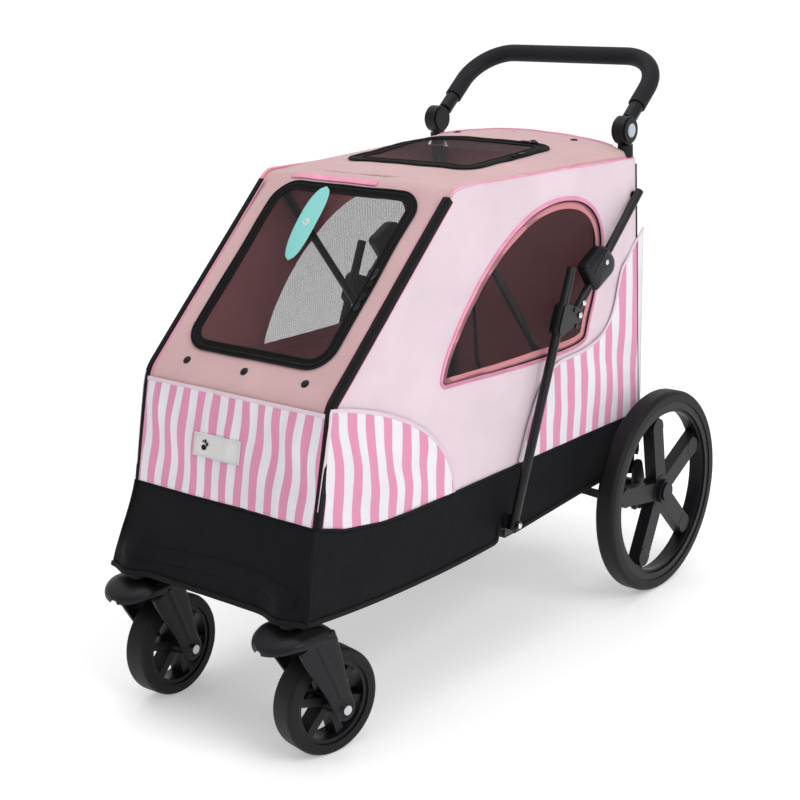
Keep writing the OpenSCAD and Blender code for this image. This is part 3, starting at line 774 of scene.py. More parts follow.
low_front = np.stack(np.meshgrid(np.linspace(-195, 195, 40), np.linspace(0, S_BEND - 26, 16)), -1)
front_low = grid("front_low_cloth", strip_points(low_front), uv=low_front * MM,
                 material=finish["salmon_canvas"], away_from=CABIN_MIDDLE)
thicken(front_low, 1.8, finish["rose_lining"])
fit(front_low, "salmon_canvas")

slope_box = box_outline(195, S_BEND - 26, S_ROOF + 28)
slope_flat = ring_between(flap_outline(-14), slope_box, slope_box, FLAP_MIDDLE, 22, 150)
slope = grid("front_slope_cloth", strip_points(slope_flat), uv=wrap_uv(slope_flat), wrap=(False, True),
             material=finish["salmon_canvas"], away_from=CABIN_MIDDLE)
thicken(slope, 1.8, finish["rose_lining"])
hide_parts("front_panel")
fit(slope, "salmon_canvas")

SKYLIGHT_Y = (-12.0, 212.0)
SKYLIGHT_HALF = 123


def roof_s(y):
    """Distance along the strip of a place on the roof."""
    return np.interp(y, STRIP[:, 0], STRIP_S)


def skylight_outline(grow, spacing=6.0):
    low, high = roof_s(SKYLIGHT_Y[0]), roof_s(SKYLIGHT_Y[1])
    return stadium(SKYLIGHT_HALF + grow, low - grow, high + grow, 26 + grow, spacing)


ROOF_MIDDLE = np.array([0.0, float(roof_s(100))])
roof_box = box_outline(195, S_ROOF + 28, S_END)
roof_flat = ring_between(skylight_outline(0), roof_box, roof_box, ROOF_MIDDLE, 16, 150)
roof = grid("roof_cloth", strip_points(roof_flat, seed=5), uv=wrap_uv(roof_flat), wrap=(False, True),
            material=finish["salmon_canvas"], away_from=CABIN_MIDDLE)
thicken(roof, 1.8, finish["rose_lining"])
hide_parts("roof_panel")
fit(roof, "salmon_canvas")
crumple(front_low, slope, roof)

# Front pocket: a gathered striped panel right across, standing off in vertical folds
t = np.linspace(0, 1, 34)[:, None]
x = np.linspace(-188, 188, 110)[None]
s = 1.5 + t * 168
fold = (np.sin(2 * math.pi * (x / 61 + 0.3 * np.sin(t * 3.3 + 0.6)))
        + 0.5 * np.sin(2 * math.pi * (x / 27 + 0.2 * np.sin(t * 5))))
ends = 1 - smooth((np.abs(x) - 160) / 28)
stand = 2.4 + ends * (3.2 + 1.9 * fold * (0.25 + 0.75 * t)) * np.sin(math.pi * np.clip(t * 0.9 + 0.05, 0, 1)) ** 0.7
flat = np.stack(np.broadcast_arrays(x, s), -1)
front_points = strip_points(flat) + strip_normals(flat) * stand[..., None]
wave = 3.6 * np.sin(s / 33 + x / 47) + 1.8 * np.sin(s / 17 + x / 23 + 1.0)
front_uv = np.stack(np.broadcast_arrays(x + wave * np.sin(math.pi * np.clip(t, 0, 1)), s), -1) * MM
front_pocket = grid("front_pocket_cloth", front_points, uv=front_uv, material=finish["striped_canvas"],
                    away_from=CABIN_MIDDLE)
thicken(front_pocket, 1.0)
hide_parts("front_pocket")
fit(front_pocket, "striped_canvas")
front_hem = sweep("front_pocket_hem", resample(front_points[-1] + [0, -0.6, -3], 6), oval(3.4, 1.0, 3), [0, -1, 0.25],
                  material=finish["lilac_canvas"])
fit(front_hem, "lilac_canvas")
crumple(front_pocket, front_hem)


# ---- The black base ----

def base_low(y):
    """Height of the base cloth's lower edge at the side: it dips behind the casters, rises to the rear,
    and arches over the foot of the brace."""
    line = np.vstack([bezier([-532, 238], [-380, 217], [-150, 208], [5, 220]), [[204, 230], [340, 234], [400, 256]]])
    z = np.interp(y, line[:, 0], line[:, 1])
    over = smooth((y - BRACE_FOOT[0] + 22) / 7) * smooth((BRACE_FOOT[0] + 22 - y) / 7)
    behind = smooth((y - 350) / 12)
    return z + (251 - z) * over + (258 - z) * behind * (1 - over)


def base_out(x, z):
    """How far the front of the base stands off its straight line, so that it clears the swivel sockets."""
    near = np.exp(-((np.abs(x) - SWIVEL[0]) / 27) ** 2)
    return 17 * smooth((305 - z) / 42) * (0.12 + 0.88 * near)


def base_front(x, z, out=0.0):
    """Y of the base's front cloth."""
    y = FRONT_FOOT[0] + (z - FRONT_FOOT[1]) * (FRONT_SEAM[0] - FRONT_FOOT[0]) / (FRONT_SEAM[1] - FRONT_FOOT[1])
    fall = 0.9 * (1 + np.clip(ripple(x, z, 31), -1, 1))
    return y - base_out(x, z) - out + fall


def base_half(y, z):
    """Half-width of the base: the side panel's at the seam, and wider at the lower edge."""
    t = np.clip((seam_z(y) - z) / (seam_z(y) - base_low(y) + 1e-6), 0, 1)
    low = 209 + 6.5 * (y + 532) / 900
    wrap = smooth((y - post_y(z) + 34) / 22)
    half = side_x(y, seam_z(y)) * (1 - smooth(t)) + low * smooth(t)
    return half * (1 - wrap) + 221 * wrap


def base_side(side, label):
    columns, rows = 130, 18
    t = np.linspace(0, 1, rows)[:, None]
    top_y = np.linspace(FRONT_SEAM[0], post_y(SEAM_Z) + 12, columns)
    low_y = np.linspace(FRONT_FOOT[0], post_y(258) + 12, columns)
    y = low_y + t * (top_y - low_y)
    z = base_low(low_y) + t * (seam_z(top_y) + 0.8 - base_low(low_y))
    fall = 1.1 * (1 + np.clip(ripple(y, z, 41 + side), -1, 1)) * (1 - smooth((y - post_y(z) + 60) / 30))
    half = base_half(y, z) + 0.8 - fall * np.sin(math.pi * t) ** 0.5
    points = np.stack([side * half, y, z], -1)
    cloth = grid(f"{label}_base_cloth", points, uv=np.stack([y, z], -1) * MM, material=finish["black_oxford"],
                 away_from=CABIN_MIDDLE)
    thicken(cloth, 1.6)
    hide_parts(f"{label}_skirt")
    fit(cloth, "black_oxford")
    hem = sweep(f"{label}_base_hem", resample(points[0] + [side * 0.5, 0, 3.5], 8), oval(4.2, 1.3, 3), [side, 0, 0],
                material=finish["black_binding"])
    seam = sweep(f"{label}_base_seam", resample(points[-1] + [side * 0.4, 0, 0.2], 8), oval(2.0, 1.6), [side, 0, 0],
                 material=finish["black_binding"])
    corner = np.stack([points[:, 0, 0], points[:, 0, 1], points[:, 0, 2]], 1)
    corner[:, 0] += side * 0.3
    edge = sweep(f"{label}_base_corner_piping", resample(corner, 6), oval(2.6, 2.6), [side, -0.6, 0],
                 material=finish["black_binding"])
    for piece in (hem, seam, edge):
        fit(piece, "black_binding")
    crumple(cloth, hem, seam, edge)


for label, side in SIDES.items():
    base_side(side, label)

t = np.linspace(0, 1, 26)[:, None]
z = 238 + t * (FRONT_SEAM[1] + 1 - 238)
half = base_half(FRONT_FOOT[0] + t * (FRONT_SEAM[0] - FRONT_FOOT[0]), z) + 0.8
x = np.linspace(-1, 1, 90)[None] * half
front_base_points = np.stack(np.broadcast_arrays(x, base_front(x, z, 0.6), z), -1)
front_base = grid("front_base_cloth", front_base_points, material=finish["black_oxford"], away_from=CABIN_MIDDLE)
thicken(front_base, 1.6)
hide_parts("front_skirt")
fit(front_base, "black_oxford")
front_base_hem = sweep("front_base_hem", resample(front_base_points[0] + [0, -0.6, 3.5], 7),
                       oval(4.2, 1.3, 3), [0, -1, 0.3], material=finish["black_binding"])
front_base_seam = sweep("front_base_seam", resample(front_base_points[-1] + [0, -0.5, 0], 7),
                        oval(2.2, 1.8), [0, -1, 0.3], material=finish["black_binding"])
fit(front_base_hem, "black_binding"), fit(front_base_seam, "black_binding")

# A flap over the base's front zip, along a fold line
zip_x = np.linspace(-186, 186, 60)
zip_z = 283 - 10 * (zip_x / 186) ** 2 + 3 * np.sin(zip_x / 60)
fold_flap_t = np.linspace(0, 1, 8)[:, None]
flap_z = zip_z + 9 - 22 * fold_flap_t
flap_points = np.stack(np.broadcast_arrays(zip_x[None], base_front(zip_x[None], flap_z, 1.2 + 1.5 * np.sin(
    math.pi * np.clip(fold_flap_t * 0.85 + 0.1, 0, 1))), flap_z), -1)
zip_flap = grid("front_base_zip_flap", flap_points, material=finish["black_oxford"], away_from=CABIN_MIDDLE)
thicken(zip_flap, 1.2)
fit(zip_flap, "black_oxford")
crumple(front_base, front_base_hem, front_base_seam, zip_flap)


# ---- Zips, bindings, snaps and labels ----

def slider(name, place, along, up, body="chassis", reach=26):
    """A zip's slider and its pull: a waisted body, a bridge over it, and a long tab that lies along the zip."""
    place, along, up = np.asarray(place, float), unit(np.asarray(along, float)), unit(np.asarray(up, float))
    across = np.cross(along, up)
    stations = np.linspace(-6, 6, 9)
    width = 4.4 - 1.3 * np.exp(-((stations - 1) / 2.4) ** 2)
    width[[0, -1]] *= 0.82
    sections = oval(1, 1, 3, 12)
    points = (place + stations[:, None, None] * along + width[:, None, None] * sections[None, :, :1] * across
              + (1.9 * sections[None, :, 1:] + 1.2) * up)
    core = grid(name, points, wrap=(False, True), caps=True, material=finish["black_plastic"])
    turn = np.linspace(0, math.pi, 12)[:, None]
    bridge_path = place + np.cos(turn) * 4.0 * along + (2.4 + np.sin(turn) * 2.6) * up
    bridge = sweep(name + "_bridge", bridge_path, oval(1.1, 0.6, 3, 8), across, material=finish["black_plastic"])
    t = np.linspace(0, 1, 12)
    tab_path = place + (3 + t[:, None] * reach) * along + (4.6 - 3.0 * smooth(t * 2))[:, None] * up
    tab_width = 2.6 + 1.3 * smooth(t * 1.6)
    tab_width[-1] *= 0.75
    tab = sweep(name + "_tab", tab_path, oval(1, 0.75, 3, 10), up, material=finish["black_plastic"], scale=None)
    tab_points = np.array([v.co for v in tab.data.vertices]).reshape(12, 10, 3) / MM
    centre = tab_path[:, None]
    offset = tab_points - centre
    sideways = (offset @ across)[..., None] * across
    tab_points = centre + offset + sideways * (tab_width[:, None, None] - 1)
    tab.data.vertices.foreach_set("co", (tab_points * MM).ravel())
    whole = joined(name, [core, bridge, tab])
    fit(whole, "black_plastic", body)
    if body == "chassis":
        crumple(whole)
    return whole


def snap(name, place, up, across=7.0):
    """A press stud: a rolled rim, a flat, and a low dome."""
    profile = [[-0.5, 0], [-0.5, across - 0.4], [0.2, across], [1.0, across - 0.6], [1.1, across - 1.6],
               [0.8, across - 2.3], [0.9, across - 3.0], [1.7, across - 4.2], [2.1, across - 5.6], [2.2, 0]]
    stud = lathe(name, profile, place, up, 28, finish["black_plastic"])
    fit(stud, "black_plastic")
    crumple(stud)


def snap_on_strip(name, x, s):
    flat = np.array([[x, s]], float)
    snap(name, strip_points(flat)[0], strip_normals(flat)[0])


for number, x in enumerate((-125, 0, 125), 1):
    snap_on_strip(f"front_snap_{number}", x, S_BEND + 30)
for number, x in enumerate((-117, 0, 117), 1):
    snap_on_strip(f"rear_snap_{number}", x, float(roof_s(300)))


def corner_binding(side, label):
    """Black tape folded over the corner between the slope and the side, with a pink cord along each edge."""
    s = np.linspace(3, S_ROOF - 22, 90)
    y, z, ny, nz = strip_side(s)
    half = side_x(y, z)
    centre = np.stack([side * half, y, z], -1)
    out_x = np.tile([side, 0.0, 0.0], (len(s), 1))
    normal = np.stack([0 * ny, ny, nz], -1)
    fold = np.array([[-10.5, 0.6], [-10.0, 1.9], [-2, 2.3], [1.2, 2.0], [2.2, 0.9], [2.4, -2], [2.2, -10.5],
                     [1.2, -11.2], [0.6, -10.5], [0.4, -1.6], [-2, 0.4]])
    points = centre[:, None] + fold[None, :, :1] * out_x[:, None] + fold[None, :, 1:] * normal[:, None]
    tape = grid(f"{label}_corner_binding", points, wrap=(False, True), caps=True, material=finish["black_binding"])
    fit(tape, "black_binding")
    crumple(tape)
    for place, shift in (("front", [-11.3, 0.9]), ("side", [1.3, -11.9])):
        line = centre + shift[0] * out_x + shift[1] * normal
        cord = sweep(f"{label}_{place}_corner_piping", line, oval(0.9, 0.9, 2, 8), normal,
                     material=finish["pink_binding"])
        fit(cord, "pink_binding")
        crumple(cord)


def roof_piping(side, label):
    """Pink piping in the seam between the roof and the side."""
    s = np.linspace(S_ROOF - 24, S_END - 1, 60)
    y, z, ny, nz = strip_side(s)
    line = np.stack([side * (side_x(y, z) + 0.3), y, z], -1)
    cord = sweep(f"{label}_roof_piping", line, oval(1.5, 1.5, 2, 10), [side, 0, 0], material=finish["pink_binding"])
    fit(cord, "pink_binding")
    crumple(cord)


for label, side in SIDES.items():
    corner_binding(side, label)
    roof_piping(side, label)

# White woven label on the front pocket, with a stitched edge
label_x, label_z = np.meshgrid(np.linspace(-69, 30, 24), np.linspace(434, 470, 10))
label_s = np.interp(label_z, STRIP[:, 1], STRIP_S)
label_flat = np.stack([label_x, label_s], -1)


def on_front_pocket(flat, out):
    """Points just off the front pocket's cloth above (x, s) pairs, found by its own grid."""
    row = np.clip((flat[..., 1] - 1.5) / 168 * 33, 0, 32.999)
    column = np.clip((flat[..., 0] + 188) / 376 * 109, 0, 108.999)
    i, j = row.astype(int), column.astype(int)
    a, b = (row - i)[..., None], (column - j)[..., None]
    p = front_points
    where = ((1 - a) * (1 - b) * p[i, j] + a * (1 - b) * p[i + 1, j]
             + (1 - a) * b * p[i, j + 1] + a * b * p[i + 1, j + 1])
    return where + out * strip_normals(flat)


label_patch = grid("front_label", on_front_pocket(label_flat, 1.6), uv=label_flat * MM,
                   material=finish["white_label"],
                   away_from=CABIN_MIDDLE)
thicken(label_patch, 0.9)
fit(label_patch, "white_label")
rim = stadium(47.0, float(label_s.min()) + 2.5, float(label_s.max()) - 2.5, 1.5, 3.0) - [19.5, 0]
label_stitch = sweep("front_label_stitching", on_front_pocket(rim, 2.0), oval(0.55, 0.4, 2, 6), [0, -1, 0.2], True,
                     finish["white_label"])
fit(label_stitch, "white_label")


def paw(name, place, right, up, out, size, slot_name):
    """A plain paw print: one large pad and four toes, each a low oval dome."""
    pads = [(0, -0.25, 0.42, 0.34), (-0.52, 0.18, 0.17, 0.23), (-0.2, 0.5, 0.17, 0.25), (0.2, 0.5, 0.17, 0.25),
            (0.52, 0.18, 0.17, 0.23)]
    right, up, out = (unit(np.asarray(v, float)) for v in (right, up, out))
    parts = []
    for cx, cy, rx, ry in pads:
        angle = np.linspace(0, 2 * math.pi, 20, endpoint=False)
        rings = [(1.0, -0.3), (1.0, 0.25), (0.85, 0.5), (0.4, 0.6)]
        points = np.stack([np.asarray(place) + right * size * cx + up * size * cy + (
            k * size * (rx * np.cos(angle)[:, None] * right + ry * np.sin(angle)[:, None] * up) + h * out)
            for k, h in rings])
        parts.append(grid(name + "_pad", points, wrap=(False, True), caps=True, material=finish[slot_name]))
    return joined(name, parts)


paw_flat = np.array([[-46.0, float(label_s.mean())]])
label_paw = paw("front_label_paw", on_front_pocket(paw_flat, 1.8)[0], [1, 0, 0], [0, 0.2, 1],
                strip_normals(paw_flat)[0], 13, "black_binding")
fit(label_paw, "black_binding")
crumple(label_patch, label_stitch, label_paw)


# ---- Flaps: front window, skylight and rear door ----

def on_strip(flat, out):
    return strip_points(flat, out=out)


def on_roof(flat, out):
    return strip_points(flat, out=out, seed=5)


def ring_sheet(name, inner, outer, middle, points, out, slot_name, body, rows=5, thick=1.2, inside=None):
    """A flat ring of cloth between two closed outlines."""
    flat = ring_between(inner, outer, outer[::12], middle, rows, 140)
    band = grid(name, points(flat, out), uv=wrap_uv(flat), wrap=(False, True), material=finish[slot_name],
                away_from=CABIN_MIDDLE)
    thicken(band, thick, inside)
    return fit(band, slot_name, body)


def flap(name, outline, width, middle, points, body, sag=3.0, coil=True):
    """A netting flap: the net, its wide zip tape, the coil in the tape and a narrow inner hem."""
    inner, outer = outline(-width), outline(0)
    flat = fan(resample(outline(2 - width), 8, closed=True), middle, 14)
    fall = sag * (1 - np.linspace(0, 1, 14)[:, None] ** 2)
    net = net_sheet(f"{name}_net", flat, points(flat, 0.6 - fall), middle * MM, CABIN_MIDDLE)
    fit(net, "black_mesh", body)
    tape = ring_sheet(f"{name}_tape", inner, outer, middle, points, 2.0, "black_binding", body)
    made = [net, tape]
    lines = [("hem", 1 - width, oval(1.6, 1.1, 3)), ("rim", -0.6, oval(1.5, 1.3, 3))]
    if coil:
        lines += [("coil", -6.5, oval(2.4, 1.2)), ("stitching", -12, oval(0.6, 0.5, 2, 6))]
    for part, at, profile in lines:
        flat_line = resample(outline(at), 4, closed=True)
        line = sweep(f"{name}_{part}", points(flat_line, 2.3), profile, strip_normals(flat_line), True,
                     finish["black_binding"])
        made.append(fit(line, "black_binding", body))
    crumple(*made)
    return net


window_net = flap("front_window", flap_outline, 18, FLAP_MIDDLE, on_strip, "window_flap")
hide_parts("front_window")


def top_outline(grow, spacing=6.0):
    return skylight_outline(grow + 11, spacing)


skylight_net = flap("skylight", top_outline, 24, ROOF_MIDDLE, on_roof, "skylight_flap", 2.0)
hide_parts("skylight")

# Pink strip over the front window's hinge
hinge_flat = np.stack([np.linspace(-132, 46, 40), np.full(40, S_BEND + FLAP_HIGH + 12)], -1)
hinge_strip = sweep("window_hinge_strip", on_strip(hinge_flat, 1.2), oval(5.5, 1.0, 4), strip_normals(hinge_flat),
                    material=finish["pink_binding"])
fit(hinge_strip, "pink_binding"), crumple(hinge_strip)

for name, x, s, turn, body in (("window_left_slider", 143.5, S_BEND + 215, 1, "window_flap"),
                               ("window_low_slider", 143.5, S_BEND + 190, -1, "window_flap"),
                               ("skylight_left_slider", 127.5, float(roof_s(105)), 1, "skylight_flap"),
                               ("skylight_rear_slider", 92, float(roof_s(217)), 0, "skylight_flap")):
    flat = np.array([[x, s]])
    points = on_strip if body == "window_flap" else on_roof
    ahead = points(flat + [[0, 3.0 * turn] if turn else [-3.0, 0]], 3.4)[0]
    here = points(flat, 3.4)[0]
    pull = slider(name, here, ahead - here, strip_normals(flat)[0], body, 24)
    crumple(pull)

# A leaf-shaped card tag that hangs from the window's top edge
u = np.linspace(0, 1, 26)[:, None]
across = np.linspace(-1, 1, 11)[None]
tag_half = 20 * np.sqrt(np.clip(1 - (2 * u - 1) ** 4, 0.0004, 1)) * (0.82 + 0.18 * np.sin(math.pi * u))
tag_flat = np.stack([-34 - 10 * (1 - u) + across * tag_half, S_BEND + FLAP_HIGH - 8 - 150 * u + 0 * across], -1)
tag = grid("paper_tag", on_strip(tag_flat, 5.5) + strip_normals(tag_flat) * (3 * u * (1 - u) * 4)[..., None],
           uv=tag_flat * MM, material=finish["paper_tag"], away_from=CABIN_MIDDLE)
thicken(tag, 0.6)
fit(tag, "paper_tag", "window_flap")
tag_paw_flat = np.array([[-39.0, S_BEND + FLAP_HIGH - 83]])
tag_paw = paw("paper_tag_paw", on_strip(tag_paw_flat, 8.6)[0], [1, 0, 0],
              strip_normals(tag_paw_flat)[0][[0, 2, 1]] * [0, -1, 1],
              strip_normals(tag_paw_flat)[0], 10, "white_label")
fit(tag_paw, "white_label", "window_flap")
crumple(tag, tag_paw)

# ---- Rear ----

DOOR_MIDDLE = np.array([0.0, 545.0])


def door_outline(grow, spacing=6.0):
    return stadium(152 + grow, 345 - grow, 747 + grow, 45 + grow, spacing)


def on_rear(flat, out):
    return rear_points(flat, out)


rear_box = box_outline(220, 334, 806)
rear_flat = ring_between(door_outline(-8), rear_box, rear_box, DOOR_MIDDLE, 16, 150)
rear_cloth = grid("rear_cloth", rear_points(rear_flat), uv=wrap_uv(rear_flat), wrap=(False, True),
                  material=finish["lilac_canvas"], away_from=CABIN_MIDDLE)
thicken(rear_cloth, 1.6, finish["rose_lining"])
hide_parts("rear_panel")
fit(rear_cloth, "lilac_canvas")
base_flat = np.stack(np.meshgrid(np.linspace(-220, 220, 50), np.linspace(251, 335, 10)), -1)
rear_base = grid("rear_base_cloth", rear_points(base_flat), uv=base_flat * MM, material=finish["black_oxford"],
                 away_from=CABIN_MIDDLE)
thicken(rear_base, 1.6)
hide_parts("rear_skirt")
fit(rear_base, "black_oxford")

yoke_x = np.linspace(-190, 190, 70)
low_edge = rear_points(np.stack([yoke_x, np.full(70, 805.0)], -1))
high_edge = strip_points(np.stack([yoke_x * 195 / side_x(328, 812), np.full(70, S_END)], -1), seed=5)
t = np.linspace(0, 1, 10)[:, None, None]
yoke_points = low_edge + t * (high_edge - low_edge) + np.array([0, 6.0, 0]) * t * (1 - t)
yoke = grid("rear_yoke_cloth", yoke_points, material=finish["salmon_canvas"], away_from=CABIN_MIDDLE)
thicken(yoke, 1.6)
fit(yoke, "salmon_canvas")
crumple(rear_cloth, rear_base, yoke)
for name, line, profile, slot_name in (
        ("rear_roof_piping", high_edge + [0, 0.8, 0.2], oval(1.5, 1.5), "pink_binding"),
        ("rear_base_seam", rear_points(base_flat[-1]) + [0, 0.6, 0], oval(2.2, 1.8), "black_binding"),
        ("rear_base_hem", rear_points(base_flat[0]) + [0, 0.6, 3], oval(4.0, 1.3, 3), "black_binding")):
    crumple(fit(sweep(name, line, profile, [0, 1, 0], material=finish[slot_name]), slot_name))

door_flat = ring_between(None, door_outline(-16), door_outline(-16)[::12], DOOR_MIDDLE, 20, 120)
door = grid("rear_door_cloth", rear_points(door_flat, 2.4), uv=wrap_uv(door_flat), wrap=(False, True),
            material=finish["lilac_canvas"], away_from=CABIN_MIDDLE)
thicken(door, 1.4, finish["rose_lining"])
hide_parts("rear_door")
fit(door, "lilac_canvas", "door_flap")
door_tape = ring_sheet("rear_door_tape", door_outline(-18), door_outline(0), DOOR_MIDDLE, on_rear, 2.8,
                       "black_binding", "door_flap")
door_coil = sweep("rear_door_coil", rear_points(door_outline(-6, 4.0), 3.2), oval(2.4, 1.2), [0, 1, 0], True,
                  finish["black_binding"])
fit(door_coil, "black_binding", "door_flap")
door_pull = slider("rear_door_slider", rear_points(np.array([[20.0, 741.0]]), 4.0)[0], [-1, 0, 0], [0, 1, 0],
                   "door_flap", 24)
crumple(door, door_tape, door_coil, door_pull)

for label, side in SIDES.items():
    z = np.linspace(262, 800, 120)
    corner = np.stack([np.full(120, side * 221.3), post_y(z) + 13.2, z], -1)
    crumple(fit(sweep(f"{label}_rear_corner_piping", corner, oval(1.7, 1.7), [side, 1, 0],
                      material=finish["black_binding"]), "black_binding"))
    neck = np.array([side * 208, 343.4])
    gusset_box = np.array([[194, 328], [220, 328], [220, 357], [186, 357]], float) * [side, 1]
    circle = neck + 14 * np.stack([np.cos(np.linspace(0, 2 * math.pi, 40, endpoint=False)),
                                   np.sin(np.linspace(0, 2 * math.pi, 40, endpoint=False))], -1)
    gusset_flat = ring_between(circle, gusset_box, gusset_box, neck, 4, 60)
    gusset_points = np.concatenate([gusset_flat, 811 - 3 * np.clip((gusset_flat[..., 1:] - 343) / 14, 0, 1)], -1)
    gusset = grid(f"{label}_neck_gusset", gusset_points, wrap=(False, True), material=finish["salmon_canvas"],
                  away_from=CABIN_MIDDLE)
    thicken(gusset, 1.2)
    fit(gusset, "salmon_canvas")
    ring = sweep(f"{label}_neck_piping", np.concatenate([circle, np.full((40, 1), 811.4)], -1),
                 oval(1.5, 1.5), [0, 0, 1], True, finish["pink_binding"])
    fit(ring, "pink_binding")
    crumple(gusset, ring)


# ---- Floor cushion ----

AROUND, HALF_ROWS, EDGE_ROWS = 240, 36, 5
CUSHION_MIDDLE_Y = -67


def cushion_form():
    """A rounded slab: a superellipse in plan, crowned on top, flat below, with sides that pull in between
    the corners. Its rows run from the middle of the underside out and over to the middle of the top."""
    angle = np.linspace(0, 2 * math.pi, AROUND, endpoint=False)
    c, s = np.cos(angle), np.sin(angle)
    plan = np.stack([167 * np.sign(c) * np.abs(c) ** 0.2, 390 * np.sign(s) * np.abs(s) ** 0.2], -1)
    plan[:, 0] *= 1 - 0.012 * np.cos(math.pi * plan[:, 1] / 390 * 0.5)
    share = np.concatenate([np.linspace(0.02, 0.985, HALF_ROWS), np.ones(EDGE_ROWS),
                            np.linspace(0.985, 0.02, HALF_ROWS)])
    turn = np.concatenate([np.zeros(HALF_ROWS), np.linspace(0.2, 0.8, EDGE_ROWS), np.ones(HALF_ROWS)])
    belly = 1 + 0.008 * np.sin(np.linspace(0.2, 0.8, EDGE_ROWS) * math.pi)
    inset = np.concatenate([np.zeros(HALF_ROWS), belly, np.zeros(HALF_ROWS)])
    k = np.where(inset > 0, inset, share)
    height = 257.6 + 14.0 * turn + 2.0 * turn * (1 - share ** 2)
    points = np.empty((len(k), AROUND, 3))
    points[..., :2] = k[:, None, None] * plan + [0, CUSHION_MIDDLE_Y]
    points[..., 2] = height[:, None]
    return points


def puffed(piece, limit):
    """Cloth pressure swells the piece for twenty frames; no point moves further than the limit, and the
    underside stays flat on the board."""
    data = piece.data
    before = np.empty(len(data.vertices) * 3)
    data.vertices.foreach_get("co", before)
    before = before.reshape(-1, 3)
    cloth = piece.modifiers.new("puff", "CLOTH")
    cloth.settings.use_pressure = True
    cloth.settings.uniform_pressure_force = 4
    cloth.settings.quality = 5
    cloth.settings.effector_weights.gravity = 0
    scene = bpy.context.scene
    for step in range(1, 21):
        scene.frame_set(step)
    made = piece.evaluated_get(bpy.context.evaluated_depsgraph_get())
    after = np.empty(len(data.vertices) * 3)
    made.data.vertices.foreach_get("co", after)
    move = after.reshape(-1, 3) - before
    far = np.linalg.norm(move, axis=1, keepdims=True)
    move *= np.minimum(1, limit / np.maximum(far, 1e-9))
    flat_part = before[:, 2] < 258.2 * MM
    move[flat_part, 2] = 0
    piece.modifiers.clear()
    data.vertices.foreach_set("co", (before + move).ravel())
    data.update()
    scene.frame_set(1)


cushion = grid("floor_cushion_cloth", cushion_form(), wrap=(False, True), caps=True, material=finish["cushion_cloth"])
puffed(cushion, 3.5 * MM)
soften = cushion.modifiers.new("soften", "SUBSURF")
soften.levels = soften.render_levels = 1
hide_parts("floor_cushion")
fit(cushion, "cushion_cloth")
cushion_points = np.empty(len(cushion.data.vertices) * 3)
cushion.data.vertices.foreach_get("co", cushion_points)
seam_plan = cushion_points.reshape(-1, AROUND, 3)[HALF_ROWS + EDGE_ROWS // 2] / MM
cushion_seam = sweep("floor_cushion_piping", resample(seam_plan, 8, closed=True), oval(1.8, 1.8), [0, 0, 1], True,
                     finish["cushion_cloth"])
fit(cushion_seam, "cushion_cloth")


# ---- Caster forks ----

def fork(side, label, yaw):
    """A winged crown with a pointed lip to the front, and two broad arms down to the axle."""
    parts = []
    y = np.concatenate([np.linspace(-60, -40, 8), np.linspace(-36, 52, 24)])
    t = (y + 60) / 112
    half = 50.5 * np.sqrt(np.clip(1 - (1 - np.clip(t * 2.1, 0, 1)) ** 2.2, 0.02, 1))
    half[-1] *= 0.93
    top = 224.5 - 17 * np.clip((-y - 12) / 48, 0, 1) ** 1.5 - 10 * np.clip((y - 26) / 26, 0, 1) ** 1.7
    low = top - 5 - 15 * np.clip((y + 60) / 60, 0, 1)
    section = oval(1, 1, 4.5, 36)
    droop = 7 * np.clip(np.abs(section[:, 0]), 0, 1) ** 4
    points = np.stack([half[:, None] * section[None, :, 0], np.broadcast_to(y[:, None], (len(y), 36)),
                       (top + low)[:, None] / 2 + (top - low)[:, None] / 2 * section[None, :, 1] - droop[None]], -1)
    parts.append(grid("crown", points, wrap=(False, True), caps=True, material=finish["black_plastic"]))
    boss = [[0, 0], [0, 16], [17, 16], [17.6, 15.2], [17.6, 0]]
    parts.append(lathe("boss", boss, [0, 0, 214], [0, 0, 1], 40, finish["black_plastic"]))
    path = bezier([14, 208], [26, 170], [44, 130], [58.5, 85.5], 26)
    tail = path[-1] + np.array([[4.0, -9.0], [6.5, -15.0], [7.4, -18.0]])
    path = np.vstack([path, tail])
    run = arc_length(path) / arc_length(path)[-1]
    width = 34 - 14.5 * smooth(run * 1.25)
    width[-3:] = [17.5, 12.0, 6.5]
    for x in (-45.5, 45.5):
        line = np.stack([np.full(len(path), x), path[:, 0], path[:, 1]], -1)
        bow = 2.0 * np.sin(math.pi * run) * np.sign(x)
        line[:, 0] += bow - np.sign(x) * 0.6
        arm = sweep("arm", line, oval(1, 4.6, 5, 28), [1, 0, 0], material=finish["black_plastic"], scale=width)
        parts.append(arm)
        rib_line = line[:22] + [np.sign(x) * 4.6, 0, 0]
        parts.append(sweep("rib", rib_line, oval(1, 1.1, 2, 10), [1, 0, 0], material=finish["black_plastic"],
                           scale=width[:22] * 0.16 + 1))
        nut = [[-6, 0], [-6, 19], [-1, 19], [0.4, 17.6], [0.4, 12], [-1, 11.4], [-1, 0]]
        parts.append(lathe("nut_seat", nut, [x + np.sign(x) * 5.0, 58.5, 85.5], [np.sign(x), 0, 0], 40,
                           finish["black_plastic"]))
    whole = joined(f"{label}_caster_fork_shell", parts)
    turn = Matrix.Translation((side * SWIVEL[0] * MM, SWIVEL[1] * MM, 0)) @ Matrix.Rotation(math.radians(yaw), 4, "Z")
    whole.data.transform(turn)
    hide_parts(f"{label}_caster_fork")
    return fit(whole, "black_plastic", f"{label}_caster")


fork(1, "left", -10.6)
fork(-1, "right", 2.2)


# ---- Latches, rivets and caps ----

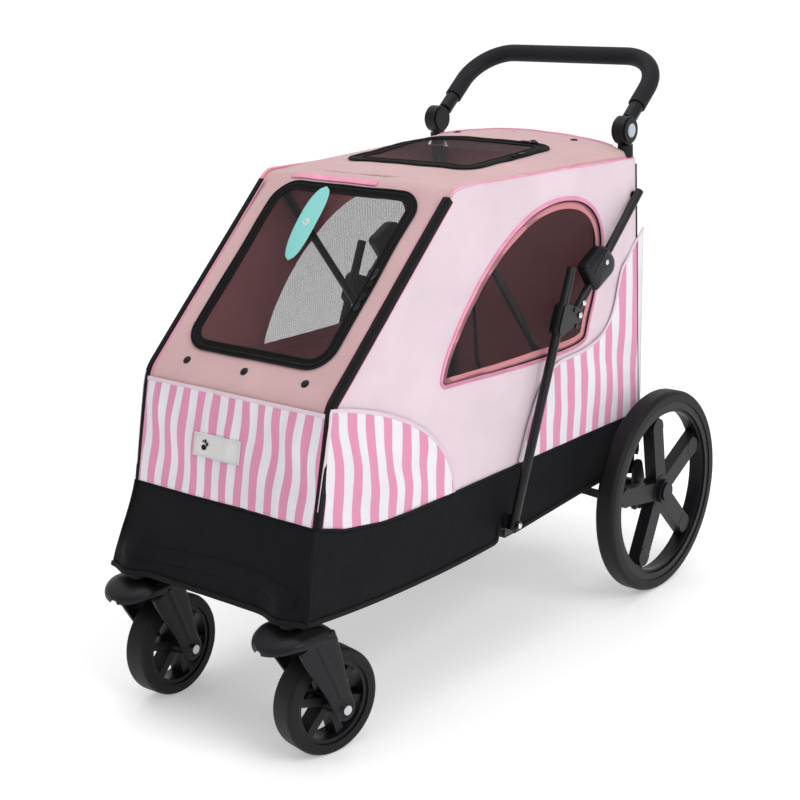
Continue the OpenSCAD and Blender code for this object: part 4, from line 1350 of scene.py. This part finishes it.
def hull_outline(discs):
    """The convex outline round several discs, given as (y, z, radius)."""
    angle = np.linspace(0, 2 * math.pi, 96, endpoint=False)
    way = np.stack([np.cos(angle), np.sin(angle)], 1)
    cloud = np.vstack([np.array(d[:2]) + d[2] * way for d in discs])
    best = np.argmax(cloud @ way.T, axis=0)
    return resample(cloud[best], 4, closed=True)


def dome(name, outline, middle, x_levels, side, slot_name, body):
    """Layers of an outline, each shrunk towards a middle and set at its own distance from the centreline."""
    rings = [np.concatenate([np.full((len(outline), 1), side * x), middle + k * (outline - middle)], -1)
             for k, x in x_levels]
    form = grid(name, np.stack(rings), wrap=(False, True), caps=True, material=finish[slot_name])
    return fit(form, slot_name, body)


along = unit(BRACE_TOP - ELBOW)
beside = np.array([-along[1], along[0]])
for label, side in SIDES.items():
    discs = [(*(ELBOW + (101 + a) * along + b * beside), r) for a, b, r in
             ((10, 12, 24), (-30, 40, 7), (-34, -8, 6), (16, -8, 20))]
    outline = hull_outline(discs)
    middle = outline.mean(0)
    shell = dome(f"{label}_latch_shell", outline, middle,
                 [(0.98, 222.8), (1, 224), (1, 237), (0.97, 241), (0.88, 244.2), (0.7, 245.8), (0.02, 246.4)], side,
                 "black_plastic", f"{label}_latch")
    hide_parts(f"{label}_brace_latch")
    rivet_at = ELBOW + 112 * along + 6 * beside
    head = lathe(f"{label}_latch_rivet", [[0, 0], [0, 5], [1.2, 4.6], [2.0, 3], [2.3, 0]],
                 [side * 245.6, *rivet_at], [side, 0, 0], 24, finish["silver_metal"])
    fit(head, "silver_metal", f"{label}_latch")
    ridge = np.stack([np.full(20, side * 246.0), *(ELBOW + np.linspace(74, 128, 20)[:, None] * along
                                                  + 22 * beside).T], -1)
    fit(sweep(f"{label}_latch_ridge", ridge, oval(2.4, 1.0, 3), [side, 0, 0], material=finish["black_plastic"]),
        "black_plastic", f"{label}_latch")
    for number, (place, body) in enumerate(((ELBOW, "upper_braces"), (ELBOW + 26 * along, "upper_braces"),
                                            (BRACE_FOOT, "lower_braces")), 1):
        rivet = lathe(f"{label}_brace_rivet_{number}", [[0, 0], [0, 5.4], [1.2, 5.0], [2.2, 3.2], [2.6, 0]],
                      [side * (238.6 if number == 2 else 243.6), *place], [side, 0, 0], 28, finish["silver_metal"])
        fit(rivet, "silver_metal", body)

# ---- Stage, camera and light ----

def stage_plane(name, size, z, colour):
    """A broad flat floor."""
    half = size / 2
    floor = add_mesh(name, [[-half, -half, z], [half, -half, z], [half, half, z], [-half, half, z]],
                     [[0, 1, 2, 3]], away_from=[0, 0, -1000])
    paper = Finish(name, Roughness=0.9, Specular_IOR_Level=0.1, Emission_Color=(1, 1, 1, 1), Emission_Strength=0.3)
    cloud = paper.noise(paper.place("Object"), 1.3, 2.0)
    floor.data.materials.append(paper.set(Base_Color=paper.ramp(cloud, [(0.3, shade(colour, 0.99)), (0.7, colour)])))
    return floor


stage_plane("floor", 40000, 0, (0.93, 0.93, 0.93))

# A glowing wall far behind the stroller
wall = add_mesh("wall", [[-9500, 1000, -50], [3500, 10500, -50], [3500, 10500, 9000], [-9500, 1000, 9000]],
                [[0, 1, 2, 3]], away_from=[-9000, 12000, 0])
glow = Finish("wall", Base_Color=(0, 0, 0, 1), Emission_Color=(1, 1, 1, 1), Emission_Strength=1.0)
wall.data.materials.append(glow.material)


def lamp(name, place, aim, size, power, colour=(1, 1, 1)):
    """A square soft box."""
    data = bpy.data.lights.new(name, "AREA")
    data.size, data.energy, data.color = size, power, colour
    light = bpy.data.objects.new(name, data)
    bpy.context.scene.collection.objects.link(light)
    light.location = place
    light.rotation_mode = "QUATERNION"
    light.rotation_quaternion = (Vector(aim) - Vector(place)).to_track_quat("-Z", "Y")


lamp("key", (3.2, -0.6, 2.6), (0, 0, 0.5), 2.2, 62)
lamp("top", (-0.3, -0.3, 3.4), (0, 0, 0.4), 2.6, 34)
lamp("front_fill", (-1.4, -3.4, 1.7), (0, 0, 0.4), 2.4, 5, (1, 0.96, 0.94))

world = bpy.data.worlds.new("studio")
world.use_nodes = True
world.node_tree.nodes["Background"].inputs["Color"].default_value = (1, 1, 1, 1)
world.node_tree.nodes["Background"].inputs["Strength"].default_value = 0.5
bpy.context.scene.world = world
bpy.context.scene.view_settings.view_transform = "Standard"

CAMERA_AZIMUTH, CAMERA_ELEVATION, CAMERA_ROLL = math.radians(39.2423), math.radians(16.5476), math.radians(-1.5614)
CAMERA_PLACE = Vector((1.6349, -2.0497, 1.1961))
CAMERA_LENS = 70.24
back = Vector((math.sin(CAMERA_AZIMUTH) * math.cos(CAMERA_ELEVATION),
               -math.cos(CAMERA_AZIMUTH) * math.cos(CAMERA_ELEVATION), math.sin(CAMERA_ELEVATION)))
level = Vector((math.cos(CAMERA_AZIMUTH), math.sin(CAMERA_AZIMUTH), 0))
upright = back.cross(level)
across = level * math.cos(CAMERA_ROLL) + upright * math.sin(CAMERA_ROLL)
above = upright * math.cos(CAMERA_ROLL) - level * math.sin(CAMERA_ROLL)
camera = bpy.data.objects.new("camera", bpy.data.cameras.new("camera"))
camera.data.lens = CAMERA_LENS
camera.data.sensor_width = 36
camera.data.clip_end = 60
camera.matrix_world = Matrix((across, above, back)).transposed().to_4x4()
camera.location = CAMERA_PLACE
bpy.context.scene.collection.objects.link(camera)
bpy.context.scene.camera = camera
